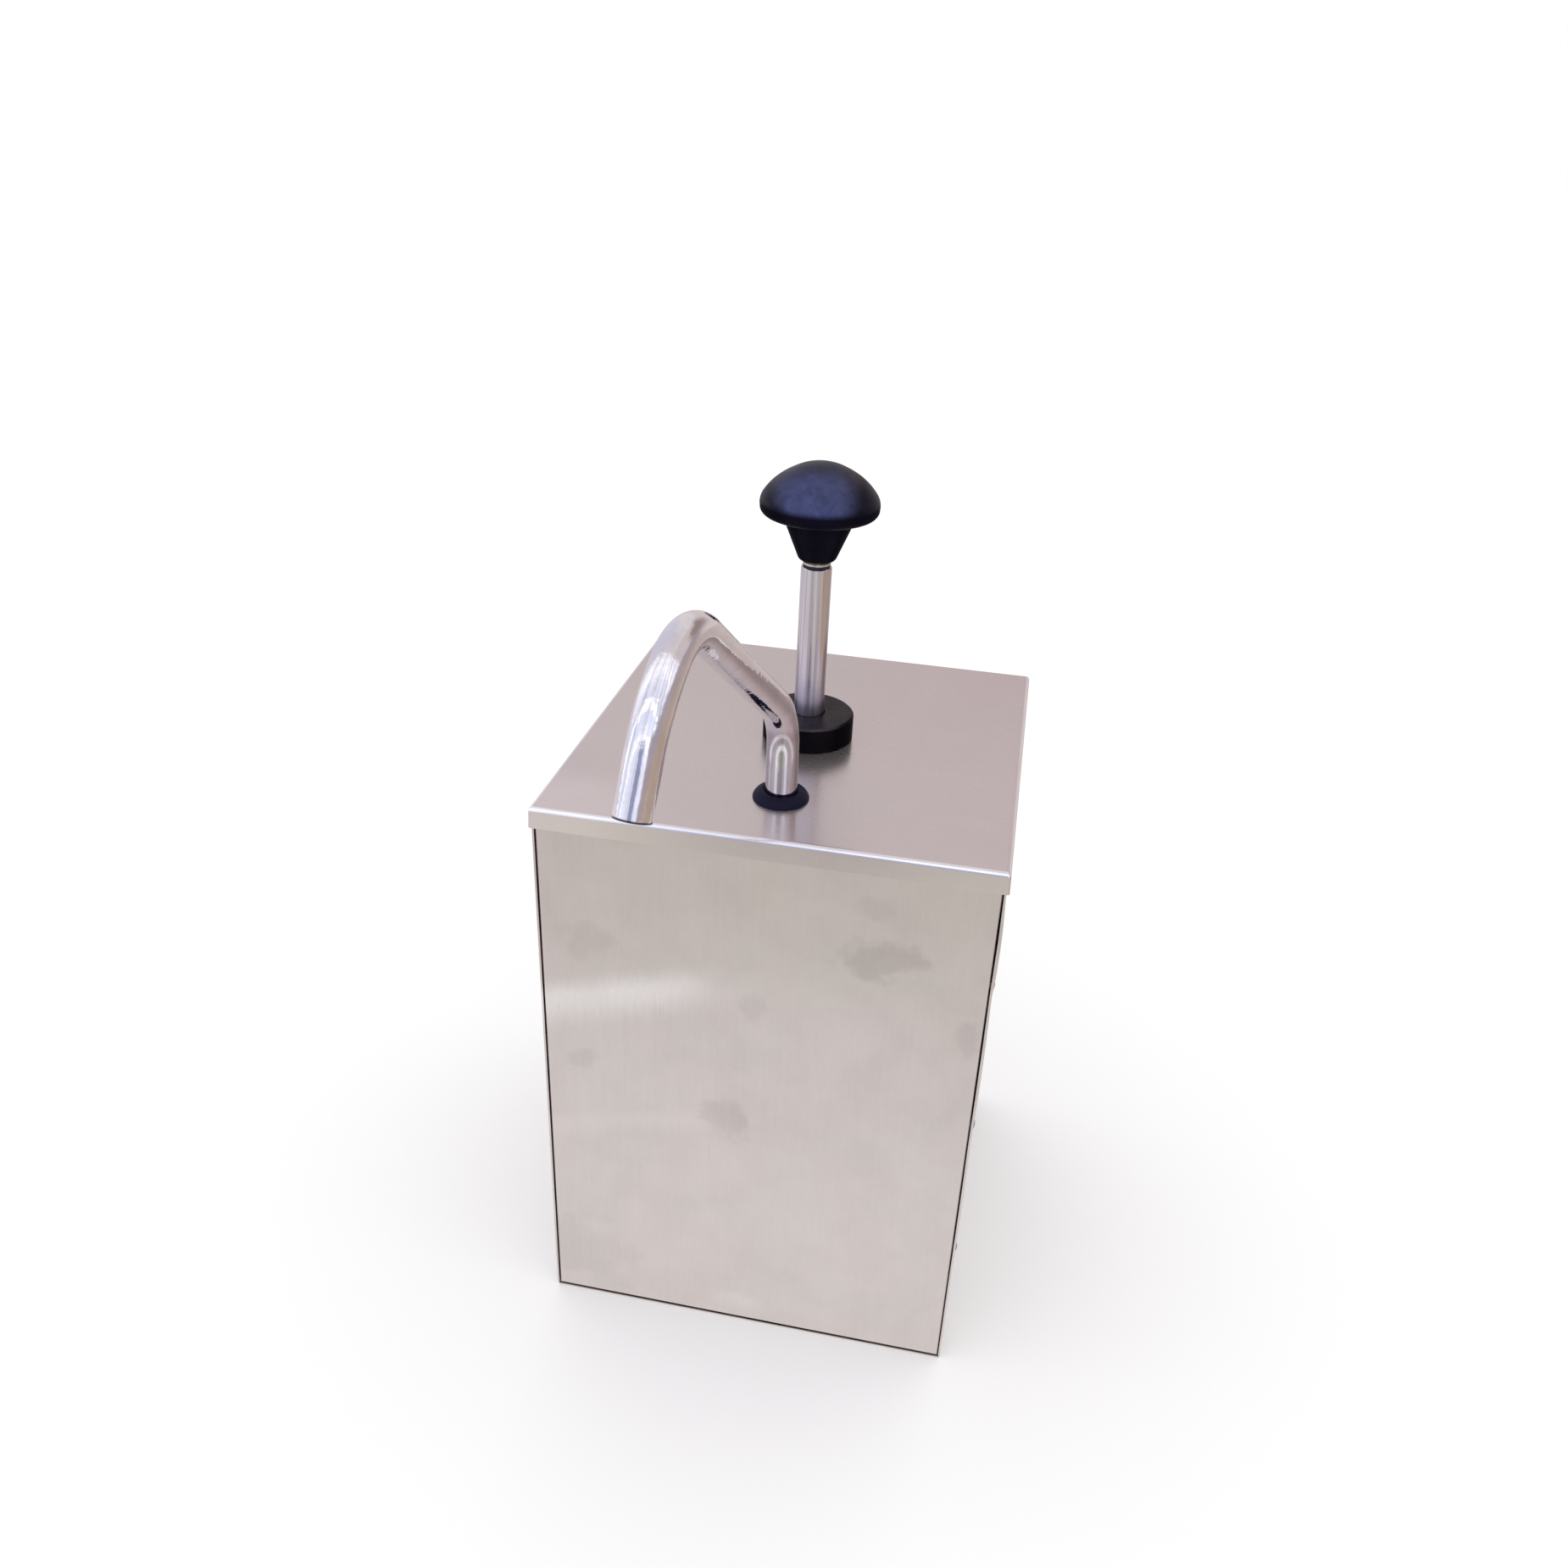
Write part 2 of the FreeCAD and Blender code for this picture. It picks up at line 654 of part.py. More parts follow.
# flat ring between the pot rim and the lid
gasket = new_body("lid_gasket")
sketch = plan(gasket, "gasket_plan", rim_top, rim_outer,
              rounded_square(dim.potHalf + 1.0, dim.potCorner + 1.0))
pad(gasket, "gasket_ring", sketch, lid_under - rim_top)

# ---------------------------------------------------------------- pump head on the lid

neck_fit = 15.0                    # bore of the pieces round the neck
cylinder_fit = dim.cylR + 0.05     # sockets round the cylinder
collar_r, collar_bore = dim.collarR, dim.collarBore
collar_top = lid_top + dim.collarH
collar_roof = lid_top + 8.0
turned("lock_collar", [
    (neck_fit, lid_top), (collar_r - 0.3, lid_top), (collar_r, lid_top + 0.3),
    (collar_r, collar_top - 0.9), (collar_r - 0.9, collar_top),
    (collar_bore + 0.3, collar_top), (collar_bore, collar_top - 0.3),
    (collar_bore, collar_roof), (neck_fit, collar_roof)])

flange_top = lid_under - 1.0
neck_top = dim.neckTop
bush_step = neck_top - 2.5         # underside of the bush flange
turned("pump_head", [
    (cylinder_fit, dim.headLow), (17.5, dim.headLow), (17.5, dim.headFlangeLow),
    (dim.headFlange, dim.headFlangeLow), (dim.headFlange, flange_top),
    (dim.neckR, flange_top), (dim.neckR, neck_top), (12.05, neck_top), (12.05, bush_step),
    (10.05, bush_step), (10.05, dim.cylTop), (cylinder_fit, dim.cylTop)])
turned("head_gasket", [
    (neck_fit, flange_top), (21.5, flange_top), (21.5, lid_under), (neck_fit, lid_under)])

bush_bore, bush_low = 6.42, 252.0
wiper_z = 262.4
turned("rod_bush", [
    (bush_bore, bush_low), (10.0, bush_low), (10.0, bush_step), (12.0, bush_step),
    (12.0, neck_top), (bush_bore, neck_top)] + seal_groove(bush_bore, 9.0, wiper_z, -1))
ring("rod_wiper_ring", 7.71, 1.26, wiper_z)

# grommet round the spout, lipped above and below the lid
grommet_bore, grommet_top = 6.45, lid_top + dim.grommetH
turned("spout_grommet", [
    (grommet_bore, lid_under - 2.2), (10.2, lid_under - 2.2), (10.6, lid_under - 1.8),
    (10.6, lid_under), (8.45, lid_under), (8.45, lid_top), (dim.grommetR, lid_top),
    (dim.grommetR, lid_top + 0.5, 4.6, -1), (7.4, grommet_top),
    (grommet_bore, grommet_top - 0.6)], at_spout=True, stem="grommet")

# ---------------------------------------------------------------- cylinder

cylinder = turned("cylinder", [
    (dim.boreR, dim.cylLow), (dim.cylR, dim.cylLow), (dim.cylR, dim.cylTop),
    (dim.boreR, dim.cylTop)])
sketch = new_sketch(cylinder, "vent_holes", "YZ_Plane")
circle(sketch, 0, 232.0, 2.0, "vent")
pocket(cylinder, "vent_drill", sketch)
ring("cylinder_seal", 15.3, 1.25, 71.0)

# ---------------------------------------------------------------- rod and piston

rod_r, rod_top, rod_low = dim.rodR, dim.rodTop, dim.rodLow
stud_hole = dim.studR - 0.02    # blind hole in the rod top, for the knob stud
stud_bore = dim.studR + 0.02    # bore of the pieces on the rod's lower stud
rod_end = 142.6
turned("plunger_rod", [
    (0, rod_end), (3.4, rod_end), (dim.studR, rod_end + 0.6), (dim.studR, rod_low),
    (rod_r, rod_low), (rod_r, rod_top - 0.6), (rod_r - 0.6, rod_top), (stud_hole, rod_top),
    (stud_hole, rod_top - 18.0), (0, rod_top - 20.0)])
turned("rod_stop_ring", [(rod_r, 249.0), (9.2, 249.0), (9.2, 251.9), (rod_r, 251.9)])

piston_r, piston_low = dim.pistonR, dim.pistonLow
piston_seal_zs = (154.3, 159.7)
profile = [(stud_bore, piston_low), (piston_r - 0.6, piston_low), (piston_r, piston_low + 0.6)]
for z in piston_seal_zs:
    profile += seal_groove(piston_r, 10.45, z, 1)
profile += [(piston_r, rod_low - 0.6), (piston_r - 0.6, rod_low), (stud_bore, rod_low)]
turned("piston", profile)
group("piston_seals", [Part.makeTorus(11.7, 1.22, Vector(0, 0, z)) for z in piston_seal_zs])

nut = new_body("piston_nut")
nut_height = 6.5
sketch = plan(nut, "nut_plan", piston_low - nut_height, hexagon(7.5))
circle(sketch, 0, 0, stud_bore, "bore")
pad(nut, "nut_hexagon", sketch, nut_height)

# ---------------------------------------------------------------- return spring

# stands on the cylinder's lower end and reaches the piston
coil_low = dim.cylLow + dim.springWire
coil_span = piston_low - dim.cylLow - dim.springWire * 2
helix = doc.addObject("Part::Helix", "spring_path")
bind(helix, "Radius", dim.springR)
bind(helix, "Pitch", dim.springPitch)
bind(helix, "Height", coil_span)
place(helix, z=coil_low)
wire = doc.addObject("Part::Circle", "spring_section")
bind(wire, "Radius", dim.springWire)
place(wire, x=dim.springR, z=coil_low, rotation=Rotation(Vector(1, 0, 0), 90))
spring = new_piece("Part::Sweep", "return_spring")
spring.Sections = [wire]
doc.recompute()
spring.Spine = (helix, ["Edge%d" % (i + 1) for i in range(len(helix.Shape.Edges))])
spring.Solid = True
spring.Frenet = True

# ---------------------------------------------------------------- knob and its fixings

stud_r, fixing_bore = 3.9, 3.95
spacer_top, washer_top = rod_top + 1.0, rod_top + 2.2
turned("knob_stud", [
    (0, rod_top - 17.5), (3.4, rod_top - 17.5), (stud_r, rod_top - 17.0),
    (stud_r, rod_top + 17.4), (3.4, rod_top + 17.9), (0, rod_top + 17.9)])
turned("knob_spacer", [
    (fixing_bore, rod_top), (5.0, rod_top), (5.0, spacer_top), (fixing_bore, spacer_top)])
turned("knob_washer", [
    (fixing_bore, spacer_top), (5.6, spacer_top), (5.8, rod_top + 1.2), (5.8, rod_top + 2.0),
    (5.6, washer_top), (fixing_bore, washer_top)])
turned("knob_insert", [
    (fixing_bore, washer_top), (5.2, washer_top), (5.2, rod_top + 19.0), (0, rod_top + 19.0),
    (0, rod_top + 18.0), (fixing_bore, rod_top + 18.0)])

# neck cone, rim, shoulder and crown; the crown is a sphere centred on the axis
knob_low, neck_r, cone_r = dim.knobLow, dim.knobNeckR, dim.knobConeR
knob_rim_r, rim_z = dim.knobRimR, dim.knobRimZ
insert_hole_r, insert_hole_top = 5.22, knob_low + 16.4
crown_r, crown_lift = 12.0, 13.2
crown_rise = dim.knobTop - rim_z - crown_lift
crown_sphere = (crown_r ** 2 + crown_rise * crown_rise) / (2.0 * crown_rise)
turned("knob", [
    (insert_hole_r, knob_low), (neck_r - 0.7, knob_low), (neck_r, knob_low + 0.8),
    (cone_r, dim.knobConeTop), (cone_r + 1.0, rim_z - 6.2, 1.6, 1), (cone_r + 2.6, rim_z - 4.9),
    (knob_rim_r - 2.9, rim_z - 4.3, 3.2, -1), (knob_rim_r - 0.15, rim_z - 1.9),
    (knob_rim_r, rim_z, 7.0, -1), (23.0, rim_z + 3.6, 26.0, -1), (19.5, rim_z + 7.9, 30.0, -1),
    (crown_r, rim_z + crown_lift, crown_sphere, -1), (0, dim.knobTop),
    (0, insert_hole_top), (insert_hole_r, insert_hole_top)])

# ---------------------------------------------------------------- valve body

valve = new_body("valve_body")
boss_low, boss_top, front_top = dim.bossLow, dim.bossTop, dim.frontBossTop
spout_y = -dim.spoutY
sketch = new_sketch(valve, "boss_plan", lift=boss_low)
circle(sketch, 0, 0, dim.bossR, "boss")
pad(valve, "central_boss", sketch, boss_top - boss_low)
sketch = new_sketch(valve, "front_boss_plan", lift=boss_low + 3)
circle(sketch, 0, spout_y, dim.frontBossR, "front_boss")
pad(valve, "front_boss", sketch, front_top - boss_low - 3)
sketch = plan(valve, "arm_plan", boss_low + 5, box_points(8.0, spout_y, -8.0))
pad(valve, "arm", sketch, 19.0)

# bores on the pump axis; the seat hole is cut upwards, the others downwards
chamber_start = dim.cylLow + 1
bore(valve, "cylinder_socket", "socket_plan", boss_top, 0, cylinder_fit, boss_top - dim.cylLow)
bore(valve, "seal_groove", "groove_plan", 72.4, 0, 16.6, 2.8)
bore(valve, "inlet_chamber", "chamber_plan", chamber_start, 0, dim.chamberR,
     chamber_start - dim.seatTop)
bore(valve, "seat_hole", "plug_hole_plan", boss_low - 1, 0, 10.05, dim.seatTop - boss_low + 1,
     reverse=True)

# cross passage, bored backwards from in front of the front boss, and its plug hole
passage_start = dim.spoutY + dim.frontBossR + 2
bore(valve, "passage_bore", "passage_plan", passage_start, dim.passageZ, dim.passageR,
     passage_start - 4.0, role="XZ_Plane")
bore(valve, "plug_bore", "plug_bore_plan", passage_start, dim.passageZ, 4.95, 8.0,
     role="XZ_Plane")

# bores on the spout axis
out_seat_start = dim.outSeatZ + 0.5
bore(valve, "outlet_seat", "out_seat_plan", out_seat_start, spout_y, dim.outSeatR,
     out_seat_start - dim.passageZ)
bore(valve, "outlet_chamber", "out_chamber_plan", front_top, spout_y, dim.outChamberR,
     front_top - dim.outSeatZ)
bore(valve, "riser_socket", "riser_socket_plan", front_top, spout_y, 6.4,
     front_top - dim.riserLow)
bore(valve, "riser_groove", "riser_seal_plan", front_top, spout_y, 9.05, 2.6)

# cross pins above the two balls: y, z, half length
PINS = [(as_size(0.0), 60.9, 17.4), (spout_y, 72.0, 9.6)]
sketch = new_sketch(valve, "pin_holes", "YZ_Plane")
for k, (y, z, half_length) in enumerate(PINS):
    circle(sketch, y, z, 1.0, "pin%d" % k)
pocket(valve, "pin_drill", sketch)
group("valve_pins", [
    Part.makeCylinder(0.99, 2 * half_length, Vector(-half_length, y.value, z), Vector(1, 0, 0))
    for y, z, half_length in PINS])

# ---------------------------------------------------------------- valve fittings

turned("inlet_seat", [
    (dim.inletSeatR, 36.0), (12.0, 36.0), (12.0, boss_low), (10.0, boss_low),
    (10.0, dim.seatTop), (dim.inletSeatR, dim.seatTop)])

plug = new_piece("Part::Cylinder", "passage_plug")
bind(plug, "Radius", 4.9)
bind(plug, "Height", 5.4)
place(plug, y=spout_y - dim.frontBossR + 0.4, z=dim.passageZ,
      rotation=Rotation(Vector(1, 0, 0), -90))

ball("inlet_ball", dim.inletBallR, dim.inletBallZ)
ball("outlet_ball", dim.outBallR, dim.outBallZ, y=spout_y)

# ---------------------------------------------------------------- riser

tube_bore = rod_r - dim.tubeWall
turned("riser_tube", [
    (tube_bore, dim.riserLow), (rod_r, dim.riserLow), (rod_r, dim.riserTop),
    (tube_bore, dim.riserTop)], at_spout=True)

# cap nut over the front boss: turned, then cut to a hexagon
riser_nut = turned("riser_nut", [
    (6.45, front_top), (6.45, front_top + 3.0), (12.2, front_top + 3.0),
    (13.0, front_top + 2.2), (13.0, front_top - 10.0), (10.05, front_top - 10.0),
    (10.05, front_top)])
half_across_flats = 11.6
sketch = plan(riser_nut, "riser_nut_flats", front_top + 4,
              hexagon(half_across_flats / math.cos(math.radians(30))))
circle(sketch, 0, 0, 16.0, "out")
pocket(riser_nut, "riser_nut_hexagon", sketch, 16.0)
place_at_spout(riser_nut)
ring("riser_seal", 7.75, 1.28, front_top - 1.3, y=spout_y)

# ---------------------------------------------------------------- swivel

socket_low, socket_top, socket_r = dim.socketLow, dim.socketTop, dim.socketR
socket_bore, socket_floor, throat_r = 6.45, 214.1, 5.35
oring_zs = (220.0, 227.0)
profile = [(6.4, socket_low), (9.0, socket_low), (socket_r, socket_low + 2.0),
           (socket_r, socket_top), (socket_bore, socket_top)]
for z in reversed(oring_zs):
    profile += seal_groove(socket_bore, 8.95, z, -1)
profile += [(socket_bore, socket_floor), (throat_r, socket_floor), (throat_r, dim.riserTop),
            (6.4, dim.riserTop)]
turned("swivel_socket", profile, at_spout=True)
group("swivel_orings", [
    Part.makeTorus(7.7, 1.25, Vector(0, spout_y.value, z)) for z in oring_zs])
turned("spout_retaining_ring", [
    (rod_r, socket_top + 0.1), (8.9, socket_top + 0.1), (8.9, socket_top + 2.6),
    (rod_r, socket_top + 2.6)], at_spout=True)
thread_r = socket_r + 0.05
turned("swivel_nut", [
    (thread_r, socket_top - 13.0), (13.6, socket_top - 13.0), (13.6, socket_top + 5.2),
    (12.8, socket_top + 6.0), (6.5, socket_top + 6.0), (6.5, socket_top + 2.8),
    (9.1, socket_top + 2.8), (9.1, socket_top), (thread_r, socket_top)], at_spout=True)

# ---------------------------------------------------------------- spout: a bent tube

# The path is drawn towards +X from the tube's own axis, then turned about it.
spout = new_body("spout_tube")
path = new_sketch(spout, "spout_path", "XZ_Plane")
bend_one, bend_two, bend_three = dim.bendOne, dim.bendTwo, dim.bendThree
slope_up = 90.0 - dim.leanOne
leg_x = bend_one - bend_one * cos_of(dim.leanOne)
leg_z = dim.spoutRise + bend_one * sin_of(dim.leanOne)
crest_x = leg_x + dim.legOne * cos_of(slope_up)
crest_z = leg_z + dim.legOne * sin_of(slope_up)
fall_x = crest_x + bend_two * (sin_of(slope_up) + sin_of(dim.dropTwo))
fall_z = crest_z - bend_two * cos_of(slope_up) + bend_two * cos_of(dim.dropTwo)
end_leg_x = fall_x - bend_three * sin_of(dim.dropTwo) + bend_three * sin_of(dim.dropThree)
end_leg_z = fall_z - bend_three * cos_of(dim.dropTwo) + bend_three * cos_of(dim.dropThree)
tip_x = end_leg_x + dim.legTwo * cos_of(dim.dropThree)
tip_z = end_leg_z - dim.legTwo * sin_of(dim.dropThree)
path_points = [
    (0, dim.spoutLow), (0, dim.spoutRise, bend_one, 1), (leg_x, leg_z),
    (crest_x, crest_z, bend_two, 1), (fall_x, fall_z, bend_three, 1),
    (end_leg_x, end_leg_z), (tip_x, tip_z)]
outline(path, path_points, closed=False)
section = new_sketch(spout, "spout_section", lift=dim.spoutLow)
circle(section, 0, 0, rod_r, "outer")
circle(section, 0, 0, tube_bore, "inner")
doc.recompute()
pipe = spout.newObject("PartDesign::AdditivePipe", "spout_bend")
pipe.Profile = section
pipe.Spine = (path, ["Edge%d" % i for i in range(1, len(path_points))])
spout.Tip = pipe
doc.recompute()
place(spout, y=spout_y, rotation=Rotation(Vector(0, 0, 1), dim.spoutTurn.value))
spout.setExpression("Placement.Rotation.Angle", dim.spoutTurn.formula)
doc.recompute()

# ---------------------------------------------------------------- lower, check and write

for piece in pieces:
    heights = [formula for prop, formula in piece.ExpressionEngine
               if prop.lstrip(".") == "Placement.Base.z"]
    lowered = "%s - Dims.benchZ" % heights[0] if heights else "-1 * Dims.benchZ"
    piece.setExpression("Placement.Base.z", lowered)
doc.recompute()

for obj in doc.Objects:
    if "Invalid" in obj.State or "Error" in obj.State:
        raise RuntimeError("%s: %s" % (obj.Label, obj.State))
for piece in pieces:
    shape = piece.Shape
    if shape.isNull() or not shape.isValid() or not shape.Solids:
        raise RuntimeError("bad shape: " + piece.Label)

os.makedirs("parts", exist_ok=True)
for piece in pieces:
    piece.Shape.exportStep("parts/%s.step" % piece.Label)
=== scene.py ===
"""Looks of a countertop condiment pump dispenser: satin steel box and lid, black push knob,
turned plunger rod and mirror-polished spout.

The pump stands on the Z axis, the front panel faces -Y and the spout rises ahead of the pump.
Sizes are millimetres. Heights in the outlines are counted from SIT below the bench top.
"""

import json
import math
from types import SimpleNamespace

import bmesh
import bpy
from mathutils import Matrix, Vector, noise
from mathutils.geometry import delaunay_2d_cdt


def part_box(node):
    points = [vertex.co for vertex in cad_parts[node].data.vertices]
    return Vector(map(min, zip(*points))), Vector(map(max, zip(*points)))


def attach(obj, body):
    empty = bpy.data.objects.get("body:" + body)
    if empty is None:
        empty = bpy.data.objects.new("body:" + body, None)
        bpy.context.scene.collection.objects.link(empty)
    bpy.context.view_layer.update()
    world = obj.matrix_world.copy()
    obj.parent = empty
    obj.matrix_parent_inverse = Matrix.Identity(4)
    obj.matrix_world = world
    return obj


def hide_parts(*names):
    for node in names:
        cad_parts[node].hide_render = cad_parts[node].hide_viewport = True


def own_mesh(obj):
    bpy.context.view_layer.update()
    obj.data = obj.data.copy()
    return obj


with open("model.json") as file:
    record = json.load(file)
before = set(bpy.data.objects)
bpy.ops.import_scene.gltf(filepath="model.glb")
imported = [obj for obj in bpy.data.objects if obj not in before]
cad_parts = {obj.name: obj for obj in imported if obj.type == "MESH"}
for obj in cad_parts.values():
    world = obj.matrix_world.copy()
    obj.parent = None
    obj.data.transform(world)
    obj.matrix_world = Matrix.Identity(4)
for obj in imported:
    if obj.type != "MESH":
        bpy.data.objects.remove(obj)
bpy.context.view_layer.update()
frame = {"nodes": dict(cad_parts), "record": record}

MM = 0.001
SIT = 2.2

SHEET = 0.8               # thickness of the box and lid sheet
BOX_HALF = 91.2           # from the pump axis to the outside of the box
BOX_LOW, BOX_HIGH = 3.6, 260.4
LID_TOP = 264.0
ROD_RADIUS = 6.35
ROD_TOP = 340.0
SPACER_TOP = 341.0

SPOUT_Y = -58.0
SPOUT_BEARING = math.radians(258.4)
SPOUT_OUTER, SPOUT_INNER = 6.35, 5.35
SPOUT_FOOT = 214.3
# length of a straight or radius of a bend, turn in degrees (0 for a straight)
SPOUT_RUNS = [
    (285.6 - SPOUT_FOOT, 0), (30.5, -50.7), (77.9, 0), (17.6, -80.9), (69.6, -25.1), (19.8, 0),
]


# ------------------------------------------------------------------ node helper


class Tree:
    """Short spellings for building a node tree."""

    def __init__(self, data):
        self.data = data
        data.nodes.clear()

    def new(self, kind, **settings):
        node = self.data.nodes.new(kind)
        for key, value in settings.items():
            setattr(node, key, value)
        return node

    def feed(self, socket, value):
        """Link a socket, or set a value; a colour may leave out its alpha."""
        if value is None:
            return
        if isinstance(value, bpy.types.NodeSocket):
            self.data.links.new(value, socket)
        elif isinstance(value, tuple) and len(value) == 3 and len(socket.default_value) == 4:
            socket.default_value = (*value, 1.0)
        else:
            socket.default_value = value

    def surface(self, inputs):
        """Feed the Principled shader's inputs by name."""
        for key, value in inputs.items():
            self.feed(self.bsdf.inputs[key], value)

    def math(self, operation, first, second=None, clamp=False):
        node = self.new("ShaderNodeMath", operation=operation, use_clamp=clamp)
        self.feed(node.inputs[0], first)
        self.feed(node.inputs[1], second)
        return node.outputs[0]

    def add(self, first, second):
        return self.math("ADD", first, second)

    def sub(self, first, second):
        return self.math("SUBTRACT", first, second)

    def mul(self, first, second):
        return self.math("MULTIPLY", first, second)

    def div(self, first, second):
        return self.math("DIVIDE", first, second)

    def abs(self, value):
        return self.math("ABSOLUTE", value)

    def hypot(self, first, second):
        return self.math("SQRT", self.add(self.mul(first, first), self.mul(second, second)))

    def vector(self, operation, first, second=None):
        node = self.new("ShaderNodeVectorMath", operation=operation)
        self.feed(node.inputs[0], first)
        self.feed(node.inputs[1], second)
        return node.outputs[0]

    def scale(self, vector, factor):
        node = self.new("ShaderNodeVectorMath", operation="SCALE")
        self.feed(node.inputs[0], vector)
        self.feed(node.inputs["Scale"], factor)
        return node.outputs[0]

    def parts(self, vector):
        node = self.new("ShaderNodeSeparateXYZ")
        self.feed(node.inputs[0], vector)
        return node.outputs[0], node.outputs[1], node.outputs[2]

    def join(self, x, y, z):
        node = self.new("ShaderNodeCombineXYZ")
        for socket, value in zip(node.inputs, (x, y, z)):
            self.feed(socket, value)
        return node.outputs[0]

    def normal_z(self, kind):
        return self.parts(self.new("ShaderNodeNewGeometry").outputs[kind])[2]

    def noise(self, vector, scale=1.0, detail=2.0, roughness=0.5, distortion=0.0):
        node = self.new("ShaderNodeTexNoise")
        self.feed(node.inputs["Vector"], vector)
        self.feed(node.inputs["Scale"], scale)
        self.feed(node.inputs["Detail"], detail)
        self.feed(node.inputs["Roughness"], roughness)
        self.feed(node.inputs["Distortion"], distortion)
        return node.outputs[0]

    def cells(self, vector, scale):
        node = self.new("ShaderNodeTexVoronoi", feature="F1")
        self.feed(node.inputs["Vector"], vector)
        self.feed(node.inputs["Scale"], scale)
        return node.outputs[0]

    def remap(self, value, span, to=(0.0, 1.0), kind="LINEAR"):
        """Carry the range span over to another, clamped."""
        node = self.new("ShaderNodeMapRange", interpolation_type=kind)
        for socket, item in zip(node.inputs, (value, *span, *to)):
            self.feed(socket, item)
        return node.outputs[0]

    def ease(self, value, span, to=(0.0, 1.0)):
        return self.remap(value, span, to, "SMOOTHSTEP")

    def vary(self, texture, to=(0.0, 1.0)):
        """Spread the usual middle range of a noise over another range."""
        return self.remap(texture, (0.3, 0.7), to)

    def band(self, value, low, high, edge):
        """1 between low and high, with soft edges."""
        return self.mul(
            self.ease(value, (low - edge, low + edge)), self.ease(value, (high + edge, high - edge))
        )

    def mix(self, factor, first, second):
        node = self.new("ShaderNodeMix", data_type="RGBA")
        self.feed(node.inputs[0], factor)
        self.feed(node.inputs[6], first)
        self.feed(node.inputs[7], second)
        return node.outputs[2]

    def drift(self, texture, first, second, span=(0.35, 0.65)):
        """Wander between two colours with a noise."""
        return self.mix(self.ease(texture, span), first, second)

    def ramp(self, factor, stops):
        node = self.new("ShaderNodeValToRGB")
        self.feed(node.inputs[0], factor)
        ramp = node.color_ramp
        while len(ramp.elements) < len(stops):
            ramp.elements.new(0.5)
        for element, (position, colour) in zip(ramp.elements, stops):
            element.position = position
            element.color = (*colour, 1.0)
        return node.outputs[0]

    def bump(self, height, strength, distance):
        node = self.new("ShaderNodeBump")
        node.inputs["Strength"].default_value = strength
        node.inputs["Distance"].default_value = distance
        self.feed(node.inputs["Height"], height)
        return node.outputs[0]


def new_material(name):
    """A Principled material, its Tree, and the place in millimetres in the object's own frame."""
    mat = bpy.data.materials.new(name)
    mat.use_nodes = True
    tree = Tree(mat.node_tree)
    output = tree.new("ShaderNodeOutputMaterial")
    tree.bsdf = tree.new("ShaderNodeBsdfPrincipled")
    tree.feed(output.inputs[0], tree.bsdf.outputs[0])
    coords = tree.new("ShaderNodeTexCoord")
    return mat, tree, tree.scale(coords.outputs["Object"], 1000.0)


# ------------------------------------------------------------------ sheet steel

# on the front face: x, z, half width, half height, depth, turn in degrees
STAINS = [
    (47.0, 214.0, 21.0, 11.0, 0.135, 8.0),
    (-1.6, 182.0, 6.0, 8.0, 0.075, 15.0),
    (-12.0, 121.5, 14.0, 10.0, 0.095, -25.0),
    (-73.0, 142.5, 8.0, 6.5, 0.070, 0.0),
    (-71.0, 203.0, 11.0, 10.0, 0.060, 0.0),
    (85.0, 183.0, 5.5, 9.0, 0.080, 0.0),
    (45.0, 237.0, 9.0, 6.0, 0.055, 0.0),
    (-76.0, 26.0, 28.0, 24.0, 0.045, 0.0),
]
# painted highlight bands standing in for glare, on the front face: x, z, half length, half width,
# gain, turn in degrees
GLARE_BANDS = [
    (-79.0, 173.0, 86.0, 11.5, 0.25, 17.0),
    (-34.0, 172.0, 150.0, 44.0, 0.046, 6.0),
    (-62.0, 110.0, 66.0, 6.5, 0.045, 14.0),
    (-4.0, 13.0, 14.0, 6.0, 0.06, 0.0),
]
# colour of the painted glare bands
GLARE_TINT = (0.690, 0.668, 0.664)

LID_DENT = SimpleNamespace(x=87.0, y=86.4, radius=1.7, depth=6.0)
LID_BRIGHT_CORNER = SimpleNamespace(x=-80.0, y=-82.0, half_x=46.0, half_y=30.0)
# painted reflection tones for the lid's skirt; painted highlight tint and smoother finish for its
# bend
SKIRT_REFLECTION_MIDDLE_TINT, SKIRT_REFLECTION_END_TINT = (0.628, 0.574, 0.548), (0.682, 0.630, 0.594)
BEND_HIGHLIGHT_TINT, BEND_HIGHLIGHT_ROUGHNESS = (0.92, 0.915, 0.935), (0.13, 0.13, 0.13)


